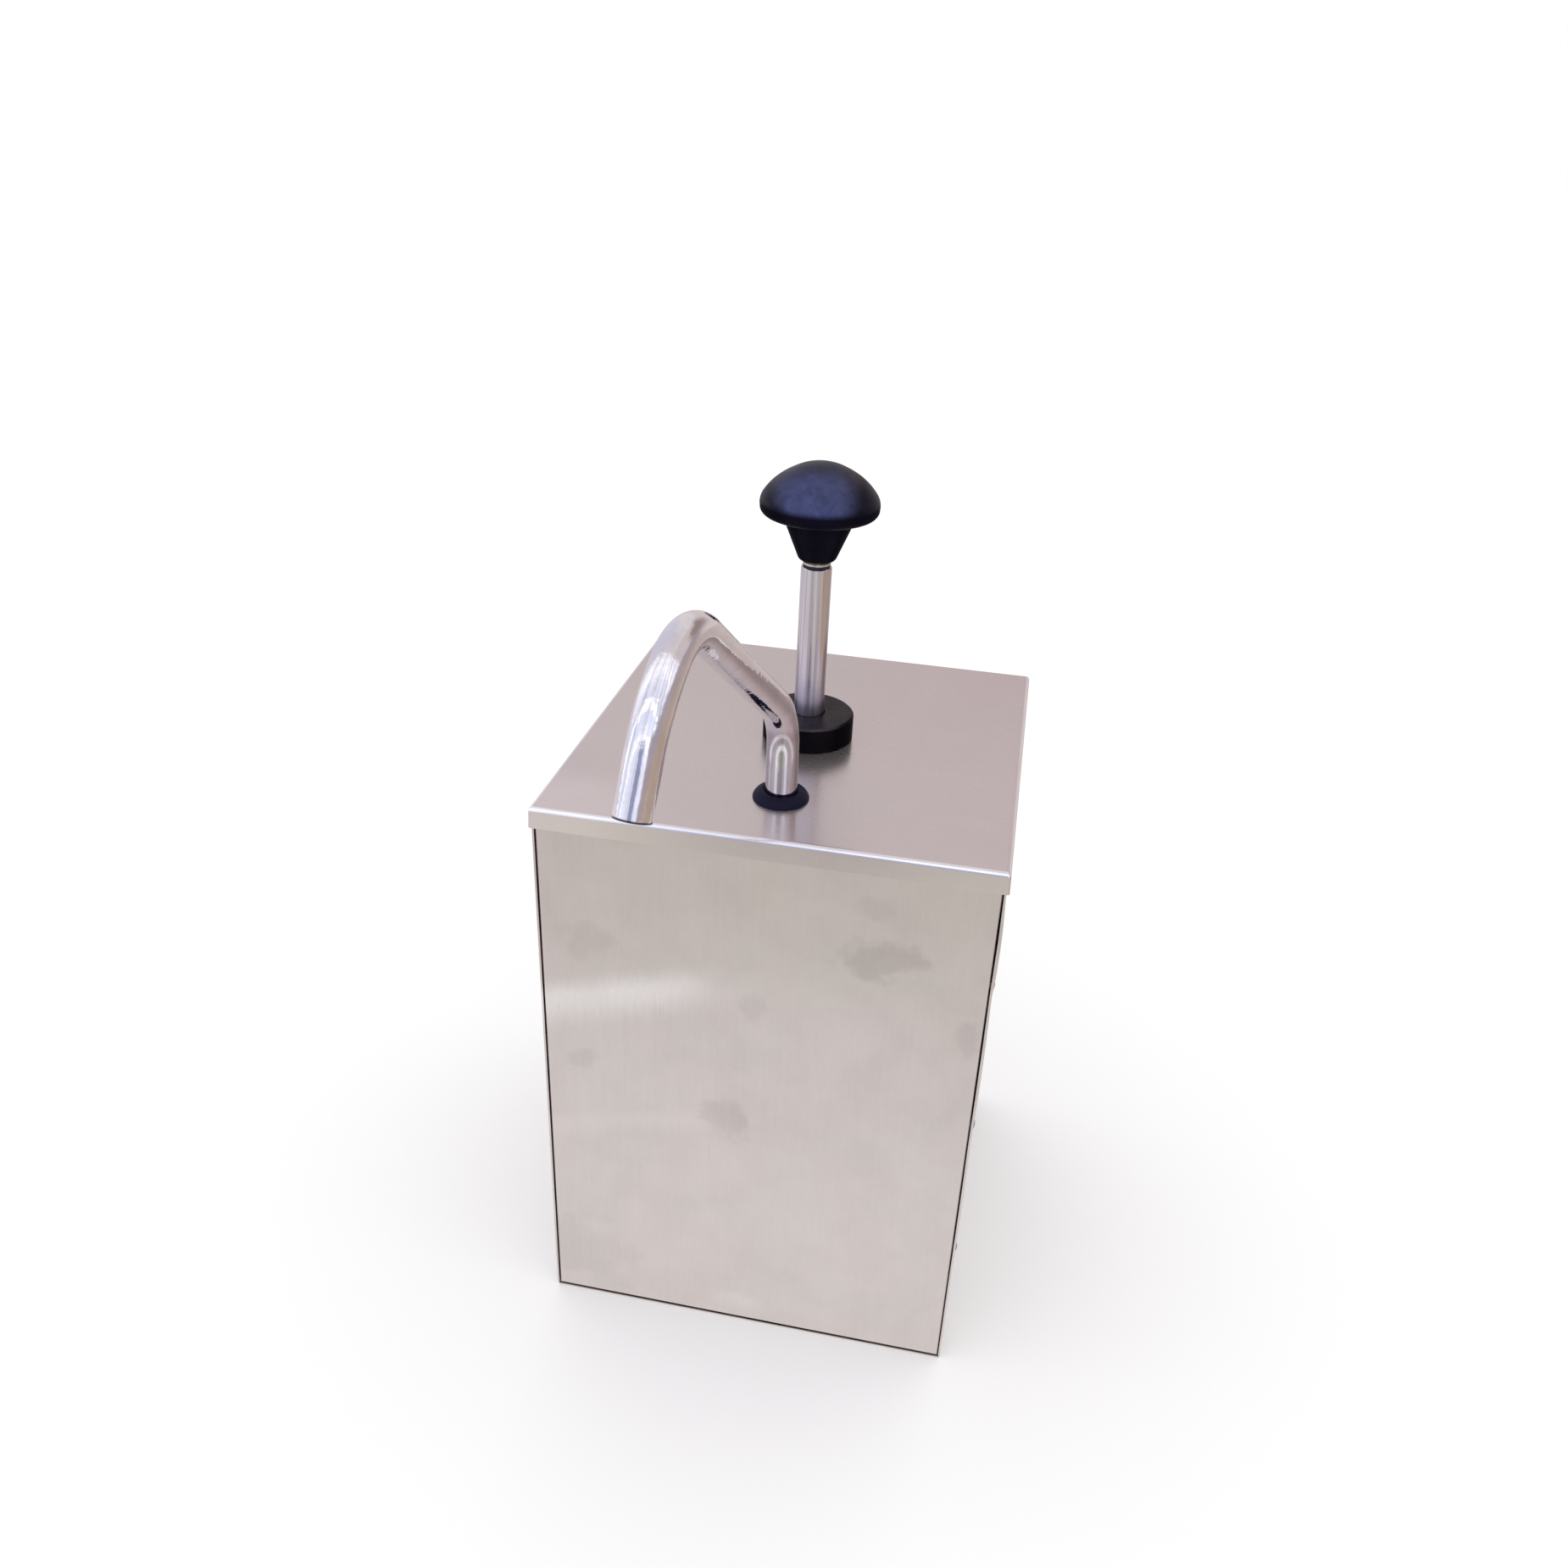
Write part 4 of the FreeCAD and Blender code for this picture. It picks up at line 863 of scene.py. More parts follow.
COLLAR = [
    (15.0, LID_TOP, 0.2), (19.0, LID_TOP, 0.25), (19.3, 264.3, 0.25), (19.3, 274.3, 0.5),
    (18.4, 275.2, 0.5), (7.1, 275.2, 0.15), (6.8, 274.9, 0.15), (6.8, 272.0, 0.1),
    (15.0, 272.0, 0.2),
]
GROMMET = [
    (6.45, 261.0, 0.0), (10.2, 261.0, 0.15), (10.6, 261.4, 0.15), (10.6, 263.2, 0.1),
    (8.45, 263.2, 0.0), (8.45, LID_TOP, 0.0), (11.2, LID_TOP, 0.12), (11.2, 264.5, 0.2),
    (7.4, 267.6, 0.35, 4.6, 7),
    (6.45, 267.0, 0.25),
]

turned_piece("push_knob", KNOB, knob_black, "knob", segments=160, reach=1.2, weighted=False)
turned_piece("knob_washer_ring", WASHER, part_steel, "knob_washer", segments=96)
turned_piece("knob_spacer_ring", SPACER, ring_black, "knob_spacer", segments=96)
turned_piece("plunger_bar", ROD, rod_steel, "plunger_rod", segments=96, reach=6.0)
turned_piece("pump_lock_collar", COLLAR, collar_black, "lock_collar", segments=160, steps=5)
turned_piece(
    "spout_boot", GROMMET, grommet_black, "spout_grommet", segments=128, reach=0.8,
    centre_y=SPOUT_Y,
)


# ------------------------------------------------------------------ spout tube


def build_spout():
    """The bent tube, slightly rippled where it was bent."""
    segments, ripple_depth, bend_reach = 72, 0.055, 7
    outward = Vector((math.cos(SPOUT_BEARING), math.sin(SPOUT_BEARING), 0.0))
    side = Vector((0.0, 0.0, 1.0)).cross(outward)
    stations = spout_path()
    last = len(stations) - 1
    travelled = [0.0]
    for before, here in zip(stations, stations[1:]):
        travelled.append(travelled[-1] + math.hypot(here[0] - before[0], here[1] - before[1]))
    verts, faces = [], []

    def bent_share(k):
        near = stations[max(0, k - bend_reach):k + bend_reach + 1]
        return sum(bent for _, _, _, bent in near) / len(near)

    def ring(k, radius, ripple=0.0, shift=0.0):
        """A ring at station k, moved by shift along the tube."""
        reach, height, angle, _ = stations[k]
        heading = math.radians(angle)
        along = outward * math.cos(heading) + Vector((0, 0, math.sin(heading)))
        up = outward * -math.sin(heading) + Vector((0, 0, math.cos(heading)))
        foot = Vector((0.0, SPOUT_Y, 0.0))
        centre = foot + outward * reach + Vector((0, 0, height)) + along * shift
        start = len(verts)
        for j in range(segments):
            a = math.tau * j / segments
            normal = up * math.cos(a) + side * math.sin(a)
            r = radius
            if ripple:
                sample = normal * 1.3 + Vector((travelled[k] * 0.16, 3.7, 1.9))
                r -= ripple_depth * (0.5 + 0.5 * noise.noise(sample)) * ripple
            verts.append(tuple(centre + normal * r))
        return range(start, len(verts))

    outer, inner = SPOUT_OUTER, SPOUT_INNER
    # foot edge, outside, cut edge at the mouth, then back down the bore
    rows = [
        ring(0, inner + 0.22), ring(0, outer - 0.22),
        ring(0, outer - 0.07, shift=0.07), ring(0, outer, shift=0.25),
    ]
    rows += [ring(k, outer, ripple=0.25 + 0.75 * bent_share(k)) for k in range(1, last)]
    rows += [
        ring(last, outer, shift=-0.25), ring(last, outer - 0.07, shift=-0.07),
        ring(last, outer - 0.22), ring(last, inner + 0.2),
        ring(last, inner + 0.05, shift=-0.06), ring(last, inner, shift=-0.22),
    ]
    rows += [ring(k, inner) for k in range(last - 1, 0, -3)]
    rows += [ring(0, inner, shift=0.22), ring(0, inner + 0.05, shift=0.06)]
    for row, following in zip(rows, rows[1:] + rows[:1]):
        faces += bridge(row, following)
    piece("bent_spout", verts, faces, tube_steel, "spout_tube", weighted=False)


build_spout()


# ------------------------------------------------------------------ return spring


def build_spring():
    """A coil with one closed turn at each end and an open middle."""
    radius, wire_radius, low, high = 10.6, 0.9, 62.9, 149.1
    turns, steps_per_turn, segments = 9.0, 64, 16
    closed_turns, closed_pitch = 1.0, 0.55
    rise = high - low
    count = int(turns * steps_per_turn)
    verts, faces, rows = [], [], []

    def height(turn):
        if turn < closed_turns:
            return closed_pitch * turn
        if turn > turns - closed_turns:
            return rise - closed_pitch * (turns - turn)
        share = (turn - closed_turns) / (turns - 2 * closed_turns)
        return closed_pitch + (rise - 2 * closed_pitch) * share

    def on_coil(a, turn):
        return Vector((radius * math.cos(a), radius * math.sin(a), low + height(turn)))

    for k in range(count + 1):
        turn = turns * k / count
        a = math.tau * turn
        centre = on_coil(a, turn)
        ahead = on_coil(a + 0.01, min(turns, turn + 0.01 / math.tau))
        along = (ahead - centre).normalized()
        up = along.cross(Vector((math.cos(a), math.sin(a), 0.0))).normalized()
        out = up.cross(along).normalized()
        rows.append(range(len(verts), len(verts) + segments))
        for j in range(segments):
            b = math.tau * j / segments
            offset_out, offset_up = wire_radius * math.cos(b), wire_radius * math.sin(b)
            verts.append(tuple(centre + out * offset_out + up * offset_up))
    for row, following in zip(rows, rows[1:]):
        faces += bridge(row, following)
    faces.append(tuple(reversed(rows[0])))
    faces.append(tuple(rows[-1]))
    spring = piece(
        "coil_spring", verts, faces, wire_steel, "return_spring", body="lid_pump", weighted=False
    )
    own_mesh(spring)


build_spring()


# ------------------------------------------------------------------ pans of sheet metal


def frame_ring(half_u, half_v, corner, count_u, count_v, corner_steps=4):
    """Points anticlockwise round a rounded rectangle, from its lower right corner."""
    corner = max(corner, 0.02)
    in_u, in_v = half_u - corner, half_v - corner
    points = []
    # corner centre, first angle, divisions of the side that follows, its direction
    for centre_u, centre_v, first, count, step_u, step_v in (
        (in_u, -in_v, -90, count_v, 0, 1),
        (in_u, in_v, 0, count_u, -1, 0),
        (-in_u, in_v, 90, count_v, 0, -1),
        (-in_u, -in_v, 180, count_u, 1, 0),
    ):
        for k in range(corner_steps + 1):
            a = math.radians(first + 90.0 * k / corner_steps)
            points.append((centre_u + corner * math.cos(a), centre_v + corner * math.sin(a)))
        length = 2 * (half_v if step_v else half_u) - 2 * corner
        u, v = points[-1]
        for k in range(1, count):
            points.append((u + step_u * length * k / count, v + step_v * length * k / count))
    return points


def circle(centre_u, centre_v, radius, count):
    angles = [math.tau * k / count for k in range(count)]
    return [
        Vector((centre_u + radius * math.cos(a), centre_v + radius * math.sin(a))) for a in angles
    ]


def fill(ring, holes, step, half_u, half_v):
    """Triangles over the flat inside ring, less round holes (u, v, radius, points). Returns
    the points, the triangles and the number of each hole's first point."""
    points = [Vector(p) for p in ring]
    edges = [(k, (k + 1) % len(ring)) for k in range(len(ring))]
    hole_starts = []
    for u, v, radius, count in holes:
        base = len(points)
        hole_starts.append(base)
        points += circle(u, v, radius, count)
        edges += [(base + k, base + (k + 1) % count) for k in range(count)]
        # a ring of points a little outside the hole's edge
        outer = radius + step * 0.45
        points += circle(u, v, outer, max(16, int(math.tau * outer / (step * 0.6))))
    grid_u, grid_v = half_u - step * 0.6, half_v - step * 0.6
    count_u, count_v = int(2 * grid_u / step), int(2 * grid_v / step)
    for i in range(count_u + 1):
        for j in range(count_v + 1):
            p = Vector((-grid_u + 2 * grid_u * i / count_u, -grid_v + 2 * grid_v * j / count_v))
            if all((p - Vector((u, v))).length > r + step * 0.85 for u, v, r, _ in holes):
                points.append(p)
    placed, _, found, origins, _, _ = delaunay_2d_cdt(points, edges, [], 1, 1e-5)
    triangles = []
    for triangle in found:
        centre = sum((placed[k] for k in triangle), Vector((0, 0))) / 3
        if any(
            (centre - Vector((u, v))).length < r * math.cos(math.pi / count) - 1e-4
            for u, v, r, count in holes
        ):
            continue
        triangles.append(tuple(origins[k][0] for k in triangle))
    return points, triangles, hole_starts


def drape(u, v, half_u, half_v, holes, wave):
    """Gentle unevenness of a thin sheet, always inward, fading out at bends and holes.
    wave is (depth, wavelength, seed)."""
    depth, scale, seed = wave
    edge = min(half_u - abs(u), half_v - abs(v)) / 16.0
    for hole_u, hole_v, radius, _ in holes:
        edge = min(edge, (math.hypot(u - hole_u, v - hole_v) - radius - 6.0) / 14.0)
    fade = max(0.0, min(1.0, edge))
    fade = fade * fade * (3 - 2 * fade)
    value = noise.noise(Vector((u / scale, v / scale, seed)))
    value += 0.4 * noise.noise(Vector((u * 2.3 / scale, v * 2.3 / scale, seed + 5)))
    return -depth * fade * max(0.0, min(1.0, 0.5 + 0.6 * value))


def pan_mesh(
    half_u, half_v, bend, corner, skirt, holes, step, wave, lean=0.0, count_u=48, count_v=48
):
    """A pan pressed from sheet: its flat at height 0, rounded bends, walls down to
    -skirt(u, v), hollow behind. lean is the walls' outward splay in degrees."""

    def ring(inset, margin=0.0):
        return frame_ring(
            half_u - inset - margin, half_v - inset - margin, max(corner - inset * 0.5, 0.25),
            count_u, count_v,
        )

    flat = ring(bend)
    points, triangles, hole_starts = fill(flat, holes, step, half_u - bend, half_v - bend)
    verts, faces = [], []
    for thickness in (0.0, SHEET):
        for u, v in points:
            verts.append((u, v, drape(u, v, half_u, half_v, holes, wave) - thickness))
    top = range(len(points))
    under = range(len(points), 2 * len(points))
    for triangle in triangles:
        faces.append(tuple(top[k] for k in triangle))
        faces.append(tuple(under[k] for k in reversed(triangle)))
    for start, (_, _, _, count) in zip(hole_starts, holes):
        faces += bridge(top[start:start + count], under[start:start + count])

    def bend_rows(first, radius, steps=7):
        """The flat's own ring, then rings round a quarter bend."""
        rows = [first]
        for k in range(1, steps + 1):
            a = math.radians(90.0 * k / steps)
            start = len(verts)
            height = -bend + radius * math.cos(a)
            verts.extend((u, v, height) for u, v in ring(bend - radius * math.sin(a)))
            rows.append(range(start, len(verts)))
        return rows

    def foot_row(inset, margin, raised):
        start = len(verts)
        verts.extend((u, v, -(skirt(u, v) - raised)) for u, v in ring(inset, margin))
        return range(start, len(verts))

    chain = bend_rows(top[:len(flat)], bend)
    inner_rows = bend_rows(under[:len(flat)], bend - SHEET)
    ease = 0.22
    for inset, margin, raised in (
        (0.0, 0.0, ease), (0.0, 0.08, 0.08), (0.0, ease, 0.0),
        (SHEET, -ease, 0.0), (SHEET, -0.08, 0.08), (SHEET, 0.0, ease),
    ):
        chain.append(foot_row(inset, margin, raised))
    chain += reversed(inner_rows)
    for row, following in zip(chain, chain[1:]):
        faces += bridge(row, following)

    if lean:
        slope = math.tan(math.radians(lean))
        for k, (u, v, w) in enumerate(verts):
            grow = max(0.0, -w - bend) * slope
            if abs(u) > half_u - bend - 0.01:
                u += math.copysign(grow, u)
            if abs(v) > half_v - bend - 0.01:
                v += math.copysign(grow, v)
            verts[k] = (u, v, w)
    return verts, faces


def build_lid():
    """The lid, with holes for the pump collar and the spout; its skirt splays outward."""
    lean, bend, skirt_depth = 2.2, 2.0, 9.0
    _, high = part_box("lid")
    half = high.x * 1000.0 - (skirt_depth - bend) * math.tan(math.radians(lean))
    verts, faces = pan_mesh(
        half, half, bend=bend, corner=1.1, skirt=lambda u, v: skirt_depth,
        holes=[(0.0, 0.0, 15.2, 96), (0.0, SPOUT_Y, 8.5, 64)],
        step=2.6, wave=(0.06, 46.0, 3.3), lean=lean,
    )
    verts = [(u, v, w + LID_TOP) for u, v, w in verts]
    piece("lid_sheet", verts, faces, lid_steel, "lid")


def build_panel():
    """The front panel, a shallow pan standing upright; its side walls are a little deeper."""
    half_u, half_v = 90.05, (BOX_HIGH - BOX_LOW) / 2
    middle = (BOX_HIGH + BOX_LOW) / 2

    def depth(u, v):
        return 14.0 if abs(u) > half_u - 1.3 and abs(v) < half_v - 3.0 else 12.0

    verts, faces = pan_mesh(
        half_u, half_v, bend=1.2, corner=0.5, skirt=depth, holes=[], step=3.0,
        wave=(0.16, 55.0, 8.1), count_v=64,
    )
    verts = [(u, -BOX_HALF - w, v + middle) for u, v, w in verts]
    piece("front_sheet", verts, faces, box_steel, "front_panel")


build_lid()
build_panel()


# ------------------------------------------------------------------ side and back wrap

WRAP_CORNER = 1.6           # upright bends at the back
WRAP_TOP_BEND = 1.2
LEDGE_DEPTH = 12.0
LEDGE_FRONT_Y = -76.6       # the ledge begins behind the front panel's folds
WRAP_FRONT_YS = [-BOX_HALF, -90.9, -76.61, LEDGE_FRONT_Y]
TIP_POINTS = 3              # plan points at each front end that have no ledge
# the right wall's front edge stands off: from height, to height, by how much
EDGE_SWELLS = [(206.8, 251.0, 0.75), (135.8, 206.8, 0.50), (64.8, 135.8, 0.32)]


def wrap_plan(inset):
    """The U in plan: left side from front to back, the back, right side to the front."""
    radius = max(WRAP_CORNER - inset, 0.02)
    half = BOX_HALF - inset
    flat = half - radius
    side_ys = WRAP_FRONT_YS + [
        LEDGE_FRONT_Y + (flat - LEDGE_FRONT_Y) * k / 30 for k in range(1, 30)
    ]

    def corner(centre_x, first):
        angles = [math.radians(first - 90 * k / 5) for k in range(6)]
        return [(centre_x + radius * math.cos(a), flat + radius * math.sin(a)) for a in angles]

    points = [(-half, y) for y in side_ys]
    points += corner(-flat, 180)
    points += [(-flat + 2 * flat * k / 30, half) for k in range(1, 30)]
    points += corner(flat, 90)
    return points + [(half, y) for y in reversed(side_ys)]


def wrap_section():
    """The wall's section: inset, height, and on the ledge how far below the top the wall's
    edge closes at the front ends, else None."""
    low, high, ease, half_ease = BOX_LOW, BOX_HIGH, 0.2, 0.06
    bend, inner_bend, ledge = WRAP_TOP_BEND, WRAP_TOP_BEND - SHEET, LEDGE_DEPTH
    bottom = low + ease
    rise = [bottom + (high - bend - low - ease) * k / 40 for k in range(41)]

    def round_bend(radius, degrees):
        angles = [math.radians(d) for d in degrees]
        return [(bend - radius * math.cos(a), high - bend + radius * math.sin(a)) for a in angles]

    outside = [(SHEET - ease, low), (ease, low), (half_ease, low + half_ease)]
    outside += [(0.0, z) for z in rise]
    outside += round_bend(bend, (15, 30, 45, 60, 75, 90))
    inside = [(bend, high - SHEET)] + round_bend(inner_bend, (60, 30, 0))
    inside += [(SHEET, z) for z in reversed(rise[:-1:4])]
    inside.append((SHEET - half_ease, low + half_ease))
    lip = [
        (ledge - ease, high, 0.0),
        (ledge - half_ease, high - half_ease, 0.1),
        (ledge, high - ease, 0.2),
        (ledge, high - SHEET + ease, 0.45),
        (ledge - half_ease, high - SHEET + half_ease, 0.6),
        (ledge - ease, high - SHEET, 0.7),
    ]
    return [(*p, None) for p in outside] + lip + [(*p, None) for p in inside]


def uneven_wall(x, y, z, inset):
    """Slight hollows of the large flats, and the stand-off of the right wall's front edge."""
    run = y if abs(x) > abs(y) or y < 0 else x
    edge = min(z - BOX_LOW, BOX_HIGH - z, 40.0) / 40.0
    side_edge = min(max(0.0, (80.0 - abs(run)) / 30.0), 1.0)
    value = 0.5 + 0.6 * noise.noise(Vector((x / 60.0, y / 60.0, z / 55.0)))
    hollow = 0.14 * max(0.0, min(1.0, value)) * max(0.0, edge) * side_edge
    if x > BOX_HALF - 3.0 and y < -20.0:
        for low, high, size in EDGE_SWELLS:
            if low < z < high:
                swell = size * math.sin(math.pi * (z - low) / (high - low)) ** 0.7
                swell *= min(1.0, max(0.0, (-20.0 - y) / 50.0))
                x += swell * (1.0 if inset < 0.5 else 0.4)
    if abs(x) > BOX_HALF - 2.0 and abs(y) < BOX_HALF - 2.0:
        x -= math.copysign(hollow, x)
    elif y > BOX_HALF - 2.0 and abs(x) < BOX_HALF - 2.0:
        y -= hollow
    return x, y, z


def build_wrap():
    """Side walls and back in one U of sheet, with a ledge turned in along the top."""
    verts, faces, rows = [], [], []
    for inset, z, drop in wrap_section():
        plan = wrap_plan(inset)
        rows.append(range(len(verts), len(verts) + len(plan)))
        for k, (x, y) in enumerate(plan):
            at_tip = k < TIP_POINTS or k >= len(plan) - TIP_POINTS
            if drop is not None and at_tip:
                verts.append((math.copysign(BOX_HALF - WRAP_TOP_BEND, x), y, BOX_HIGH - drop))
            elif inset <= SHEET + 1e-6:
                verts.append(uneven_wall(x, y, z, inset))
            else:
                verts.append((x, y, z))
    for row, following in zip(rows, rows[1:] + rows[:1]):
        faces += bridge(row, following, closed=False)
    faces.append(tuple(row[0] for row in rows))
    faces.append(tuple(row[-1] for row in reversed(rows)))
    piece("wrap_sheet", verts, faces, box_steel, "housing_wrap")


build_wrap()


# ------------------------------------------------------------------ rivets

SIDE_RIVET_ZS = [209.0 - 71.0 * k for k in range(3)]
LOW_RIVET_Z = 11.0
# grip, then each rivet's seat and outward direction
RIVETS = [
    (1.95, [((s * BOX_HALF, -84.5, z), (s, 0, 0)) for s in (-1, 1) for z in SIDE_RIVET_ZS]),
    (1.65, [
        *(((s * BOX_HALF, y, LOW_RIVET_Z), (s, 0, 0)) for s in (-1, 1) for y in (-50.0, 60.0)),
        *(((x, BOX_HALF, LOW_RIVET_Z), (0, 1, 0)) for x in (-60.0, 60.0)),
    ]),
]


def rivet_outline(grip):
    """Tail, shank and domed head, seated at height 0."""
    head, dome, edge = 2.4, 0.85, 0.15
    crown = (head ** 2 + (dome - edge) ** 2) / (2 * (dome - edge))
    radii = [head * math.sin(math.pi / 2 * (1 - k / 8)) for k in range(8)]
    cap = [(r, dome - crown + math.sqrt(crown ** 2 - r ** 2)) for r in radii]
    return [
        (0.0, -grip - 1.6), (2.2, -grip - 1.6), (2.5, -grip - 0.8), (2.3, -grip),
        (1.6, -grip), (1.6, 0.0), (head - 0.12, 0.0), (head, 0.06),
    ] + cap + [(0.0, dome)]


def build_rivets():
    verts, faces = [], []
    for grip, seats in RIVETS:
        rivet_verts, rivet_faces = turned_mesh(rivet_outline(grip), segments=48)
        for seat, direction in seats:
            turn = Vector((0, 0, 1)).rotation_difference(Vector(direction))
            place = Matrix.Translation(Vector(seat)) @ turn.to_matrix().to_4x4()
            base = len(verts)
            verts += [tuple(place @ Vector(p)) for p in rivet_verts]
            faces += [tuple(base + k for k in face) for face in rivet_faces]
    piece("side_rivets", verts, faces, rivet_steel, "shell_rivets")


build_rivets()


# ------------------------------------------------------------------ floor

# what polished metal sees of the floor ahead: distance as a share of 1.2 m, colour
FLOOR_NEAR = [
    (0.00, (0.86, 0.84, 0.85)), (0.10, (0.90, 0.88, 0.89)), (0.165, (0.905, 0.885, 0.905)),
    (0.205, (0.84, 0.82, 0.83)), (0.29, (0.762, 0.735, 0.722)), (0.38, (0.742, 0.716, 0.702)),
    (0.56, (0.685, 0.668, 0.622)), (0.80, (0.58, 0.56, 0.55)), (1.0, (0.53, 0.51, 0.52)),
]
# and of the floor further off: bearing in degrees, 0 in front and negative to the left, colour
FLOOR_ROUND = [
    (-179, (0.63, 0.555, 0.545)), (-150, (0.64, 0.57, 0.59)), (-105, (0.80, 0.745, 0.79)),
    (-70, (0.75, 0.68, 0.75)), (-38, (0.72, 0.66, 0.72)), (-24, (0.745, 0.715, 0.705)),
    (-14, (0.67, 0.64, 0.615)), (-6, (0.585, 0.56, 0.535)), (2, (0.62, 0.595, 0.57)),
    (12, (0.70, 0.665, 0.635)), (30, (0.73, 0.665, 0.69)), (48, (0.65, 0.56, 0.53)),
    (72, (0.49, 0.375, 0.305)), (100, (0.47, 0.365, 0.30)), (135, (0.57, 0.48, 0.45)),
    (179, (0.63, 0.555, 0.545)),
]


def floor_material():
    """Pale diffuse floor; reflections see glowing tones set by distance and bearing."""
    mat = bpy.data.materials.new("pale_floor")
    mat.use_nodes = True
    mat.cycles.emission_sampling = "NONE"
    tree = Tree(mat.node_tree)
    output = tree.new("ShaderNodeOutputMaterial")
    matt = tree.new("ShaderNodeBsdfDiffuse")
    coords = tree.new("ShaderNodeTexCoord").outputs["Object"]
    cloud = tree.vary(tree.noise(coords, scale=1.4))
    tree.feed(matt.inputs[0], tree.mix(cloud, (0.90, 0.895, 0.89), (0.93, 0.925, 0.92)))
    x, y, _ = tree.parts(coords)
    ahead = tree.mul(y, -1.0)
    bearing = tree.math("ARCTAN2", x, ahead)
    near = tree.ramp(tree.math("DIVIDE", ahead, 1.2, clamp=True), FLOOR_NEAR)
    round_about = tree.ramp(
        tree.add(tree.div(bearing, math.tau), 0.5),
        [((degrees + 180.0) / 360.0, colour) for degrees, colour in FLOOR_ROUND],
    )
    far = tree.ease(tree.hypot(x, y), span=(0.42, 0.64))
    glow = tree.new("ShaderNodeEmission")
    tree.feed(glow.inputs[0], tree.mix(far, near, round_about))
    both = tree.new("ShaderNodeMixShader")
    tree.feed(both.inputs[0], tree.new("ShaderNodeLightPath").outputs["Is Glossy Ray"])
    tree.feed(both.inputs[1], matt.outputs[0])
    tree.feed(both.inputs[2], glow.outputs[0])
    tree.feed(output.inputs[0], both.outputs[0])
    return mat


def build_floor():
    half = 4       # metres
    corners = [(-half, -half, 0), (half, -half, 0), (half, half, 0), (-half, half, 0)]
    mat = floor_material()
    mesh = bpy.data.meshes.new("floor")
    mesh.from_pydata(corners, [], [(0, 1, 2, 3)])
    obj = bpy.data.objects.new("floor", mesh)
    bpy.context.scene.collection.objects.link(obj)
    mesh.materials.append(mat)


build_floor()


# ------------------------------------------------------------------ room light

# brighter and dimmer levels of the windows, one behind another: share of the level, colour
PANES = [
    (0.00, (0.86, 0.89, 1.08)), (0.22, (0.88, 0.90, 1.06)), (0.31, (0.96, 0.98, 1.16)),
    (0.37, (1.34, 1.34, 1.44)), (0.43, (0.98, 1.01, 1.20)), (0.53, (0.90, 0.94, 1.16)),
    (0.57, (1.42, 1.42, 1.50)), (0.605, (1.40, 1.40, 1.46)), (0.65, (0.82, 0.84, 1.00)),
    (0.76, (0.96, 0.98, 1.14)), (0.83, (1.26, 1.24, 1.32)), (0.95, (1.04, 1.02, 1.12)),
    (1.0, (0.94, 0.92, 1.04)),
]


def add_windows(tree, room, direction, bearing):
    """Tall windows ahead and to the left, up to a slanting ceiling edge."""
    x, y, z = direction
    level = tree.add(tree.add(tree.mul(x, 0.55), tree.mul(y, 2.87)), tree.mul(z, 2.22))
    ripple = tree.noise(
        tree.join(tree.mul(bearing, 0.075), tree.mul(level, 0.9), 0.0), roughness=0.6
    )
    wavy = tree.add(level, tree.vary(ripple, to=(-0.16, 0.16)))
    panes = tree.ramp(tree.remap(wavy, span=(-3.2, 1.2)), PANES)
    streak = tree.noise(tree.join(tree.mul(bearing, 0.16), 3.7, 1.3), roughness=0.55)
    panes = tree.scale(panes, tree.ease(streak, span=(0.36, 0.62), to=(0.74, 1.05)))
    return tree.mix(tree.ease(level, span=(1.10, 0.88)), room, panes)


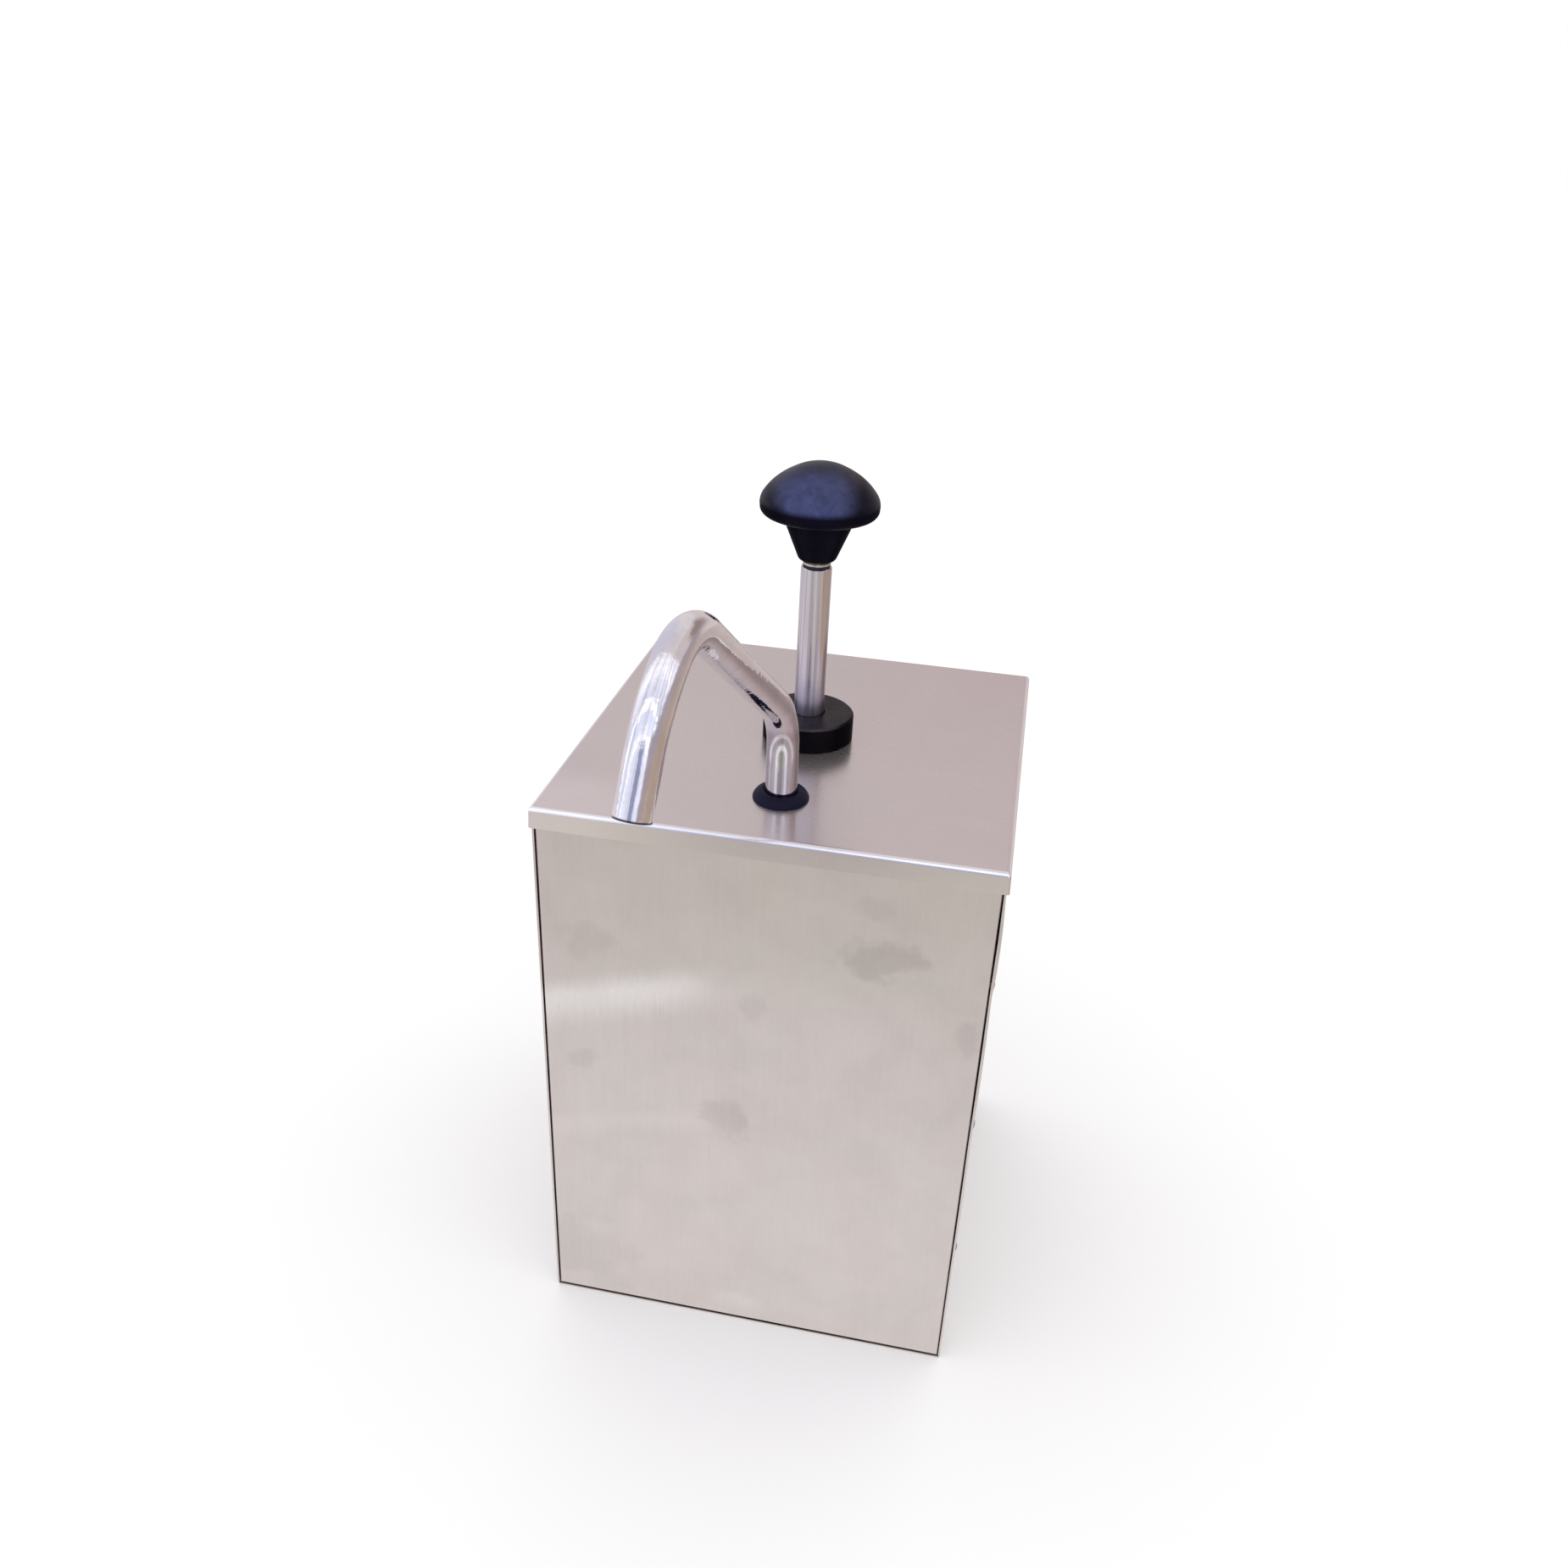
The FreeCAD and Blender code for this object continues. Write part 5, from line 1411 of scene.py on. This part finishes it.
def reflected_room(tree, direction):
    """What polished metal sees of the walls and windows."""
    x, y, z = direction
    degree = 180.0 / math.pi
    # bearing is 0 toward the viewer and negative to the left
    bearing = tree.mul(tree.math("ARCTAN2", x, tree.mul(y, -1.0)), degree)
    rise = tree.mul(tree.math("ARCSINE", z), degree)

    # back wall: pinker low and to the right, greyer high and to the left
    lean = tree.add(tree.mul(x, -0.9), z)
    room = tree.drift(lean, (0.700, 0.606, 0.608), (0.765, 0.730, 0.732), span=(0.36, 0.56))
    # left wall, cool
    left_wall = tree.band(bearing, low=-150, high=-70, edge=12)
    room = tree.mix(left_wall, room, (0.68, 0.655, 0.76))
    # ceiling
    room = tree.mix(tree.ease(rise, span=(60, 84)), room, (0.70, 0.645, 0.68))
    room = add_windows(tree, room, direction, bearing)
    # lower right: greyer violet, tan near the floor
    low_right = tree.mul(
        tree.band(bearing, low=34, high=128, edge=9), tree.ease(rise, span=(24, 13))
    )
    low_tint = tree.drift(rise, (0.47, 0.37, 0.32), (0.43, 0.375, 0.43), span=(-8, 9))
    room = tree.mix(low_right, room, low_tint)
    # a darker doorway behind on the right
    door_height = tree.mul(tree.ease(rise, span=(3, 27)), tree.ease(rise, span=(50, 36)))
    doorway = tree.mul(tree.band(bearing, low=112, high=160, edge=12), door_height)
    room = tree.mix(doorway, room, (0.345, 0.27, 0.265))
    # someone standing ahead, against the light
    figure = tree.mul(
        tree.band(bearing, low=-15, high=9, edge=4), tree.ease(rise, span=(25, 20))
    )
    return tree.mix(figure, room, (0.34, 0.36, 0.55))


def soft_room():
    """An even soft light, a studio room in reflections, plain white to the camera."""
    world = bpy.data.worlds.new("soft_room")
    bpy.context.scene.world = world
    world.use_nodes = True
    tree = Tree(world.node_tree)
    output = tree.new("ShaderNodeOutputWorld")
    ray = tree.new("ShaderNodeLightPath")
    coords = tree.new("ShaderNodeTexCoord")
    direction = tree.parts(tree.vector("NORMALIZE", coords.outputs["Generated"]))
    room = reflected_room(tree, direction)
    even = tree.drift(direction[2], (1.10, 1.09, 1.09), (1.20, 1.20, 1.22), span=(-0.2, 0.9))
    seen = tree.mix(ray.outputs["Is Glossy Ray"], even, room)
    seen = tree.mix(ray.outputs["Is Camera Ray"], seen, (1.0, 1.0, 1.0))
    glow = tree.new("ShaderNodeBackground")
    tree.feed(glow.inputs[0], seen)
    glow.inputs[1].default_value = 1.0
    tree.feed(output.inputs[0], glow.outputs[0])
    world.cycles.sampling_method = "NONE"


soft_room()


# ------------------------------------------------------------------ camera and render

CAMERA_PLACE = Vector((0.08033, -0.50550, 0.51448))      # metres
CAMERA_TURN = Matrix((
    (0.9797182076982803, -0.1290137075388706, 0.15332219921310797),
    (0.19615354273314659, 0.4611534437736722, -0.8653677189316219),
    (0.04093923762974609, 0.8778912031469263, 0.47710692120271925),
))

scene = bpy.context.scene
camera_data = bpy.data.cameras.new("view")
camera_data.lens = 30.307
camera_data.sensor_width = 36.0
camera_data.clip_start = 0.01
camera_data.clip_end = 50.0
camera = bpy.data.objects.new("view", camera_data)
camera.matrix_world = Matrix.Translation(CAMERA_PLACE) @ CAMERA_TURN.to_4x4()
scene.collection.objects.link(camera)
scene.camera = camera

scene.view_settings.view_transform = "Standard"
scene.view_settings.look = "None"
scene.view_settings.exposure = 0.0
scene.cycles.use_denoising = True
